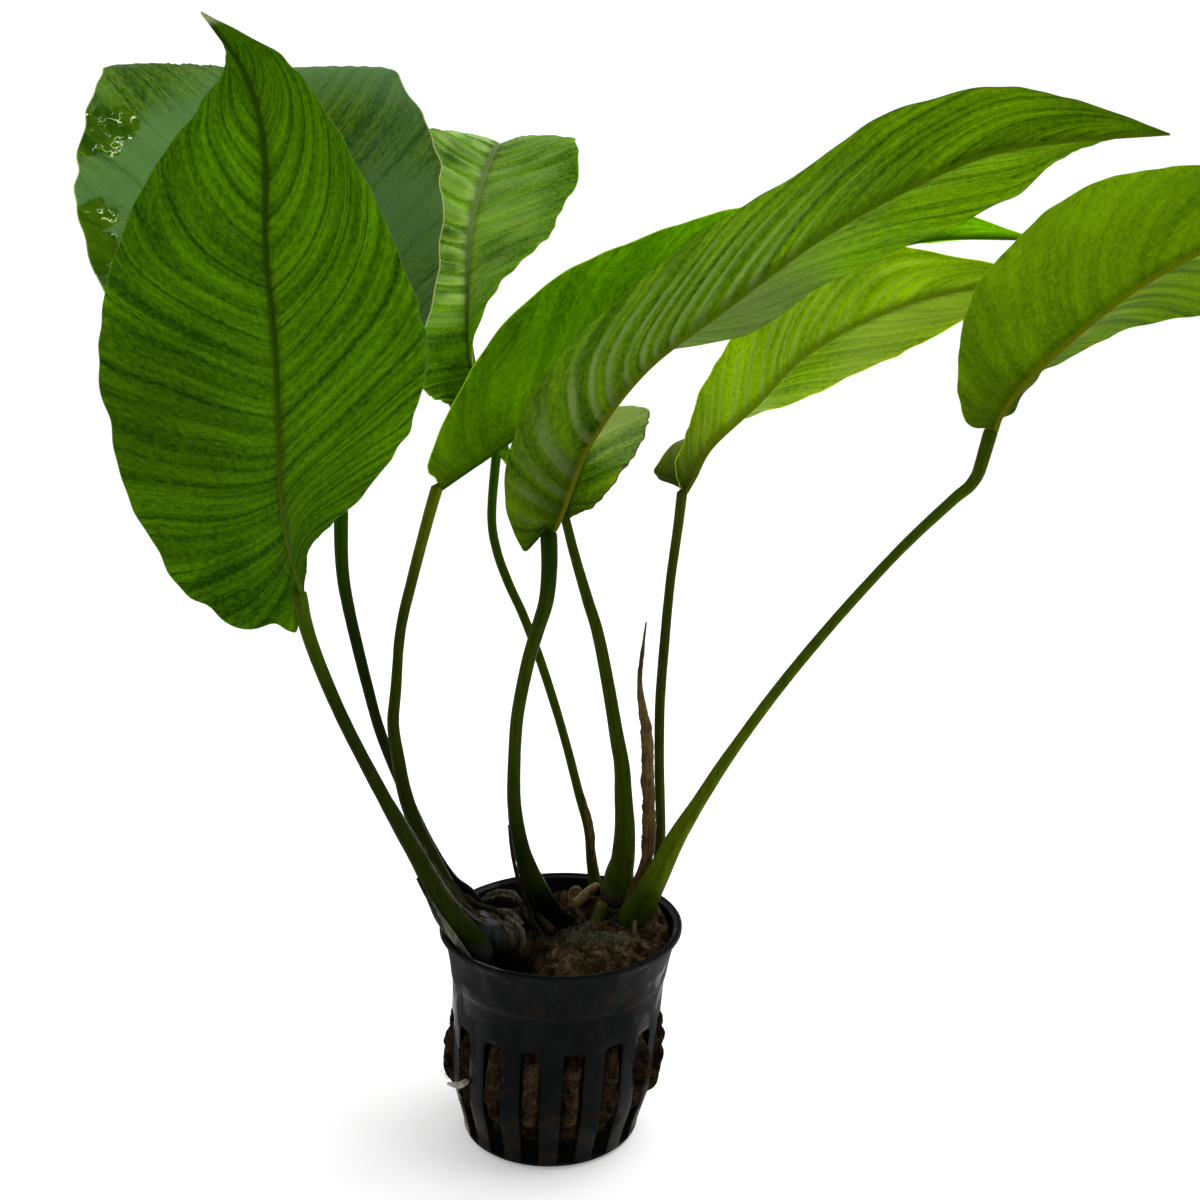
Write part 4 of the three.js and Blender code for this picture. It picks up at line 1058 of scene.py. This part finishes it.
# %% Roots and stubs
ROOT_CREAM = paper_finish("root cream", 0.5, 0.1, (0.08, 0.05, 0.012), (0.3, 0.23, 0.09), (0.06, 0.03, 0.008), 0.5)
ROOT_WHITE = paper_finish("root tip white", 0.4, 0.3, (0.2, 0.19, 0.14), (0.5, 0.49, 0.42), (0.12, 0.1, 0.06), 0.3,
                          0.00005)
YELLOW_STUB = paper_finish("yellow green stub", 0.5, 0.12, (0.03, 0.035, 0.001), (0.1, 0.11, 0.012),
                           (0.06, 0.045, 0.012), 0.7)
BROWN_STUB = paper_finish("brown stub", 0.7, 0.1, (0.008, 0.005, 0.002), (0.03, 0.022, 0.008),
                          (0.012, 0.016, 0.002), 0.6, 0.0002)
SPROUTS = {
    "thick_pale_root": ([[2.6, 12.4, 42.6], [4.9, 13, 44], [6.9, 13.4, 45.9], [9.1, 13.6, 47.5]],
                        [1.0, 1.1, 0.9], ROOT_CREAM, "root_cream"),
    "curled_root": ([[3.4, 10.9, 43.4], [2.9, 10.7, 46.2], [3.6, 10.7, 47.6], [4.7, 10.8, 47.6]],
                    [0.5, 0.5, 0.4], ROOT_CREAM, "root_cream"),
    "yellow_stub": ([[7.7, 6.8, 39.3], [8.4, 7.4, 41.4], [9.5, 8.2, 43.9], [9.8, 8.8, 45.7]],
                    [1.5, 1.2], YELLOW_STUB, "root_cream"),
    "brown_stub": ([[-0.4, 0.7, 42], [-2.9, 0.8, 45], [-3.9, 1, 46.1]], [1.0, 0.6], BROWN_STUB, "bark"),
    "root_tip": ([[15.9, 2.2, 39.4], [16.2, 2.6, 40.9], [16.7, 3.4, 44]], [0.75, 0.65, 0.35], ROOT_CREAM,
                 "root_cream"),
    "slot_root": ([[-16.6, -11.4, 15.8], [-18.4, -13.4, 15.5], [-19.7, -12.6, 14.9], [-21.6, -10.6, 14.1]],
                  [0.7, 0.7, 0.25], ROOT_WHITE, "root_cream"),
}
for number, (key, (path, radii, skin, slot_name)) in enumerate(SPROUTS.items()):
    sprout = make_tube(f"{key}_piece", number + 5.0, path, radii, around=20, per_mm=4.0, bumps=0.12)
    settle_in(coat(sprout, skin), key)
print("roots and stubs made:", len(SPROUTS))

# %% [markdown]
# ## Net pot
# The pot is a thin turned cup of soft black plastic with sixteen upright slots. A turned cup with boxes cut from
# it would give rough corners, so the wall is a grid with its columns set on the slot edges. The faces inside the
# slots are deleted, the sheet gets its thickness, and a small bevel rounds every edge.

# %% Pot wall
POT_HEIGHT = 45          # mm, and all the rows below are (radius, height) in mm
LEAN, PINCH = 2.1, 0.045     # at the rim the pot leans this many mm to the right, and is narrower by this share
SLOTS, HALF_SLOT = 16, 0.098     # how many slots, and half a slot's angle in radians
PITCH = 2 * math.pi / SLOTS
SLOT_STOPS = [-1, -0.86, -0.5, 0, 0.5, 0.86, 1]
SLOT_FOOT, SLOT_TOP, UNDER_TOP = 1.1, 27.0, 26.0
POT_ROWS = [(0, 0), (10, 0), (16.6, 0), (17.7, 0.15), (18.2, 0.6), (18.4, SLOT_FOOT), (18.6, 2.2), (19.0, 4),
            (19.7, 6.5), (20.5, 9), (21.2, 11.5), (21.6, 15), (21.8, 19), (22.0, 23), (22.1, UNDER_TOP),
            (22.1, SLOT_TOP), (22.15, 28.5), (22.3, 31), (22.5, 33.6), (22.6, 34.2), (22.85, 34.6), (23.0, 35.4),
            (23.4, 37.5), (24.0, 40), (24.6, 42), (25.0, 43.1), (25.15, 43.6), (25.85, 43.75), (26.1, 44.1),
            (26.15, 44.7), (25.9, 45.05)]


def column_angle(u):
    """Ten columns to a slot and its rib: six over the slot and four over the rib."""
    place = np.round(u * SLOTS * 10).astype(int)
    slot, step = place // 10, place % 10
    rib = np.linspace(HALF_SLOT, PITCH - HALF_SLOT, 5)
    offsets = np.array([f * HALF_SLOT for f in SLOT_STOPS] + list(rib[1:4]))
    return (slot + 0.5) * PITCH + offsets[step], offsets[step]


def from_front(angle, radius, height):
    """Points at an angle from the front of the pot."""
    return np.stack([radius * np.sin(angle), -radius * np.cos(angle), height], 1)


def settle_cup(points):
    """The soft pot leans a little to the right and is pressed narrower at the rim."""
    up = points[:, 2] / POT_HEIGHT
    points[:, 0] = points[:, 0] * (1 - PINCH * up * up) + LEAN * up
    return points


def pot_wall(u, t):
    """The slots' upper corners are rounded by lowering the two rows there."""
    angle, offset = column_angle(u)
    rows = np.array(POT_ROWS, float)
    radius, height = rows[np.round(t * (len(rows) - 1)).astype(int)].T
    stops = [0, 0.5 * HALF_SLOT, 0.86 * HALF_SLOT, HALF_SLOT, PITCH / 2]
    corner = np.interp(np.abs(offset), stops, [0, 0.02, 0.3, 0.85, 0.0])
    height = height - corner * np.where(height == SLOT_TOP, 1, np.where(height == UNDER_TOP, 0.6, 0))
    return from_front(angle, radius, height), {}


pot = rolled("net_pot_cup", SLOTS * 10, len(POT_ROWS) - 1, pot_wall)
print("pot wall has", len(pot.data.polygons), "faces before its slots")

# %% Slots, wall thickness and soft edges
WALL, EDGE = 0.00105, 0.00022        # wall thickness and width of the rounded edges, metres


def in_slot(face):
    middle = face.center * 1000
    angle = math.atan2(middle.x, -middle.y) % PITCH
    return SLOT_FOOT < middle.z < SLOT_TOP and abs(angle - PITCH / 2) < HALF_SLOT


def in_mouth(face):
    return face.normal.z > 0.9 and face.center.z > (POT_HEIGHT - 0.5) / 1000


def pick_faces(piece, rule):
    choose(piece)
    for part in (piece.data.vertices, piece.data.edges, piece.data.polygons):
        part.foreach_set("select", [False] * len(part))
    picked = [face for face in piece.data.polygons if rule(face)]
    for face in picked:
        face.select = True
    bpy.ops.object.mode_set(mode="EDIT")
    bpy.ops.mesh.select_mode(type="FACE")
    return len(picked)


for rule in (in_mouth, in_slot):
    picked = pick_faces(pot, rule)
    bpy.ops.mesh.delete(type="FACE")
    bpy.ops.object.mode_set(mode="OBJECT")
    print("faces cut", rule.__name__, picked)
wall = pot.modifiers.new("wall", "SOLIDIFY")
wall.thickness, wall.offset, wall.use_even_offset = WALL, -1, True
soft = pot.modifiers.new("soft edges", "BEVEL")
soft.width, soft.segments, soft.limit_method, soft.angle_limit = EDGE, 2, "ANGLE", math.radians(50)
for modifier in ("wall", "soft edges"):
    bpy.ops.object.modifier_apply(modifier=modifier)
points = settle_cup(corners(pot) * 1000)
dent = rough(points, 26.0, 3.0, 1)[:, None] * unit(points * [1, 1, 0]) * 0.35 * ease(points[:, 2], 4, 20)[:, None]
move_corners(pot, points + dent)
bpy.ops.object.shade_smooth_by_angle(angle=math.radians(35))
print("pot triangles:", faces_of(pot))

# %% [markdown]
# The plastic is charcoal black with a soft sheen. Water has left pale marks and mud has dried on it, most of
# all near the bottom, so the finish mixes three kinds of speckle over the plastic's own colour.

# %% Pot plastic
def height_of(place):
    return node(place.tree, "SeparateXYZ", {"Vector": place}, "Z")


def pot_plastic():
    finish, tree, shader = new_finish("charcoal pot plastic", 0.05)
    place = object_place(tree)
    cloud = speckle(place, 70.0, 3.0)
    spot = speckle(place, 260.0, 3.0)
    runs_down = speckle(stretched(place, 0.15), 380.0, 3.0)
    color = mix(ramp(cloud, 0.35, 0.7), (0.0008, 0.0011, 0.0012), (0.0022, 0.0029, 0.0032))
    color = mix(ramp(runs_down, 0.52, 0.75, 0, 0.5), color, (0.007, 0.0075, 0.007))
    mud = ramp(spot + ramp(height_of(place), 0.03, 0.0, 0.0, 0.16), 0.6, 0.7, 0, 0.9)
    color = mix(mud, color, (0.008, 0.0045, 0.0014))
    dry = ramp(speckle(place, 520.0, 4.0), 0.62, 0.76, 0, 0.3)
    color = mix(dry, color, (0.03, 0.026, 0.018))
    wet = ramp(speckle(place, 110.0, 2.0), 0.5, 0.56, 0.0, 0.3)
    feed(shader.inputs, {"Base Color": color, "Roughness": ramp(cloud, 0.3, 0.7, 0.5, 0.72) - wet})
    bump(shader, speckle(place, 2600.0, 2.0) + spot, 0.00006)
    return finish


settle_in(coat(pot, pot_plastic()), "net_pot")
print("pot is finished")

# %% [markdown]
# ## Rock wool
# The wool is a brown, felted plug. It fills the pot, swells through the slots and ends in torn lumps at the
# top. Its body is one rolled sheet from the middle of its underside to the middle of its top, pushed in and
# out by soft random bumps. Loose fibres are made afterwards, because felt is seen by its stray threads.

# %% Wool plug
WOOL_LEVEL = 41                          # height of the wool's top between its lumps, mm
UNDER_SHARE, SIDE_SHARE, TOP_SHARE = 0.08, 0.6, 0.32     # of the sheet: the underside, the side and the top
TOP_FROM = 0.68                          # where on the sheet the top starts
WOOL_LUMPS = [[0, -13, 5.5, 2.8], [9, -12.5, 5, 1.6], [17, -8, 4.5, 1.8], [8, -2, 8, 1.4], [3, 18.5, 6, 3.2],
              [22, 5, 5, 2.6], [20.5, 10, 4.5, 3.4], [18, 15, 4, 3.0], [-11, -10.2, 7.2, -10.5], [-6.4, 6, 3.2, -4.0],
              [24.6, -1.5, 2.2, -5.0], [-10, 15, 6, -2.0]]       # x, y, radius and height, mm
WOOL_SIDE = [(17.2, 5.6), (17.6, 6.2), (20.0, 14.5), (20.9, 33.8), (21.8, 38.0), (21.2, 40.4), (20.2, WOOL_LEVEL)]


def wool_top(x, y):
    lumps = sum(h * np.exp(-1.6 * ((x - cx) ** 2 + (y - cy) ** 2) / r ** 2) for cx, cy, r, h in WOOL_LUMPS)
    return WOOL_LEVEL + lumps


def slot_offset(angle):
    """How far an angle lies from the middle of the nearest slot."""
    return (angle % PITCH) - PITCH / 2


def wool_plug(u, t):
    angle = full_turn(u)
    side = np.array(WOOL_SIDE, float)
    run = runs(side)
    s = np.clip((t - UNDER_SHARE) / SIDE_SHARE, 0, 1) * run[-1]
    radius, height = np.interp(s, run, side[:, 0]), np.interp(s, run, side[:, 1])
    radius = np.where(t < UNDER_SHARE, side[0, 0] * t / UNDER_SHARE, radius)
    radius = np.where(t > TOP_FROM, side[-1, 0] * (1 - (t - TOP_FROM) / TOP_SHARE), radius)
    flat = from_front(angle, radius, height)
    top = ease(t, 0.64, 0.7)
    swell = np.exp(-(slot_offset(angle) / 0.075) ** 4) * ease(height, 6.5, 12) * (1 - ease(height, 22, 26.5))
    lump = rough(flat, 5.0, 1.0, 3)
    push = swell * (1.75 + 1.1 * np.abs(np.sin(angle)) + 1.0 * lump) * (1 - top)
    push += 0.35 * lump * (1 - top) * (1 - swell) * ease(t, 0.05, 0.1)
    push += 3.1 * np.exp(-((angle - 1.8) / 0.7) ** 2) * ease(height, 36, 40) * radius / 20
    points = flat + from_front(angle, 1.0, np.zeros(len(t))) * push[:, None]
    torn = 1 - np.abs(rough(points * [0.8, 1.3, 0], 5.0, 4.0, 3))
    shred = 1 - np.abs(rough(points * [0.7, 1.5, 0], 1.9, 2.0, 2))
    rise = wool_top(points[:, 0], points[:, 1]) - WOOL_LEVEL
    points[:, 2] += top * (rise + 2.8 * (torn - 0.75) + 1.7 * (shred - 0.6))
    # Marks the low pit and the deep furrows of the top, which the finish darkens with painted shade.
    hollow = top * np.maximum(ease(-points[:, 2], -40.2, -36.5), 0.75 * ease(-shred, -0.62, -0.3))
    return settle_cup(points), {"hollow": hollow}


wool = rolled("rock_wool_plug", 256, 200, wool_plug)
print("wool plug has", faces_of(wool), "triangles")

# %% [markdown]
# The wool's colour goes from brown to tan in random clumps, and it is lighter towards the top. In its hollows it is
# painted nearly black: painted shade. It is grey-green and fuzzy in the middle of the top, where mineral fibres
# lie bare.

# %% Wool finish
def wool_finish(name, pale=0.0):
    """pale makes it lighter all over, from 0 to 1."""
    finish, tree, shader = new_finish(name, 0.03, 0.95)
    place = object_place(tree)
    clump = speckle(place, 300.0, 4.0, 0.7)
    thread = speckle(place, 1500.0, 4.0, 0.75)
    tone = clump * 0.65 + thread * 0.35 + ramp(height_of(place), 0.038, 0.044, -0.04, 0.09)
    color = mix(ramp(tone, 0.38, 0.6), (0.004, 0.0022, 0.0008), (0.046, 0.029, 0.012))
    color = mix(ramp(tone, 0.54, 0.7, 0, 0.9), color, (0.145, 0.11, 0.06))
    far = how_far(place, (0.0095, -0.0022, 0.043), (0.42, 1.15, 0.9)) + clump * 0.003
    bare = mix(ramp(thread, 0.35, 0.65), (0.035, 0.036, 0.02), (0.14, 0.145, 0.1))
    color = mix(ramp(far, 0.0068, 0.0035, 0.0, 0.8), color, bare)
    if pale:
        color = mix(pale, color, (0.1, 0.085, 0.05))
    # The hollows are painted up to 93% darker: painted shade.
    color = tinted(color, 1 - read_marks(tree, ["hollow"])["hollow"] * 0.93)
    feed(shader.inputs, {"Base Color": color})
    bump(shader, clump + thread, 0.0007)
    return finish


coat(wool, wool_finish("felted rock wool"))
print("wool finish is ready")

# %% Loose fibres
FIBRES, BENDS = 1500, 5
ON_TOP = FIBRES * 6 // 7         # this many fibres grow on the top, and the others in the slots
rng = np.random.default_rng(11)


def fibre_roots():
    """Where each fibre starts, and which way is up from there."""
    spots, normals = corners(wool) * 1000, corners(wool, "normal")
    x, y, z = spots.T
    angle = np.arctan2(x - LEAN * z / POT_HEIGHT, -y)
    on_top = np.nonzero((z > 38.5) & (normals[:, 2] > 0.2))[0]
    in_slots = np.nonzero((z > 8) & (z < 25) & (np.abs(slot_offset(angle)) < 0.06))[0]
    fuzz = 0.15 + np.exp(-((x[on_top] - 9.5) / 9) ** 2 - ((y[on_top] + 2) / 3.5) ** 2)
    chosen = np.concatenate([rng.choice(on_top, ON_TOP, p=fuzz / fuzz.sum()), rng.choice(in_slots, FIBRES - ON_TOP)])
    return spots[chosen], normals[chosen]


def fibre_lines():
    roots, normals = fibre_roots()
    lie = rng.normal(size=(FIBRES, 3))
    flat = lie - normals * (lie * normals).sum(1)[:, None]
    course = unit(flat + normals * rng.uniform(0.1, 0.8, FIBRES)[:, None])
    length = rng.uniform(0.8, 2.8, FIBRES)[:, None]
    turn = rng.normal(size=(FIBRES, 3)) * 0.5
    spine = [roots - normals * 0.15]
    for step in range(BENDS):
        course = unit(course + turn * 0.5 + rng.normal(size=(FIBRES, 3)) * 0.18 - normals * 0.16 * step)
        spine.append(spine[-1] + course * length / BENDS)
    return np.stack(spine, 1)


def fibre_sheet(u, t):
    """All fibres are one long roll of three sides. Each takes its own stretch of rows."""
    row = np.round(t * (FIBRES * (BENDS + 1) - 1)).astype(int)
    which, step = row // (BENDS + 1), row % (BENDS + 1)
    along = unit(SPINES[which, np.minimum(step + 1, BENDS)] - SPINES[which, np.maximum(step - 1, 0)])
    wide = unit(np.cross(along, [0.3, 0.5, 0.81]))
    thin = THICKNESS[which] * np.where((step == 0) | (step == BENDS), 0.35, 1.0)
    points = SPINES[which, step] + circle(wide, np.cross(along, wide), full_turn(u)) * thin[:, None]
    return points, {"strand": which.astype(float)}


SPINES = fibre_lines()
THICKNESS = rng.uniform(0.03, 0.06, FIBRES)
fibres = rolled("wool_fibres", 3, FIBRES * (BENDS + 1) - 1, fibre_sheet)
strand = np.empty(len(fibres.data.vertices), np.float32)
fibres.data.attributes["strand"].data.foreach_get("value", strand)
linking = pick_faces(fibres, lambda face: len({int(strand[v]) for v in face.vertices}) > 1)
bpy.ops.mesh.delete(type="ONLY_FACE")
bpy.ops.mesh.select_mode(type="VERT")
bpy.ops.mesh.select_all(action="DESELECT")
bpy.ops.mesh.select_non_manifold(use_wire=True, use_boundary=False, use_multi_face=False, use_non_contiguous=False,
                                 use_verts=False)
bpy.ops.mesh.delete(type="EDGE")
bpy.ops.object.mode_set(mode="OBJECT")
coat(fibres, wool_finish("stray wool fibre", 0.35))
wool = join([wool, fibres], "rock_wool_plug")
settle_in(wool, "rock_wool")
print("fibres:", FIBRES, "links cut:", linking, "wool triangles:", faces_of(wool))
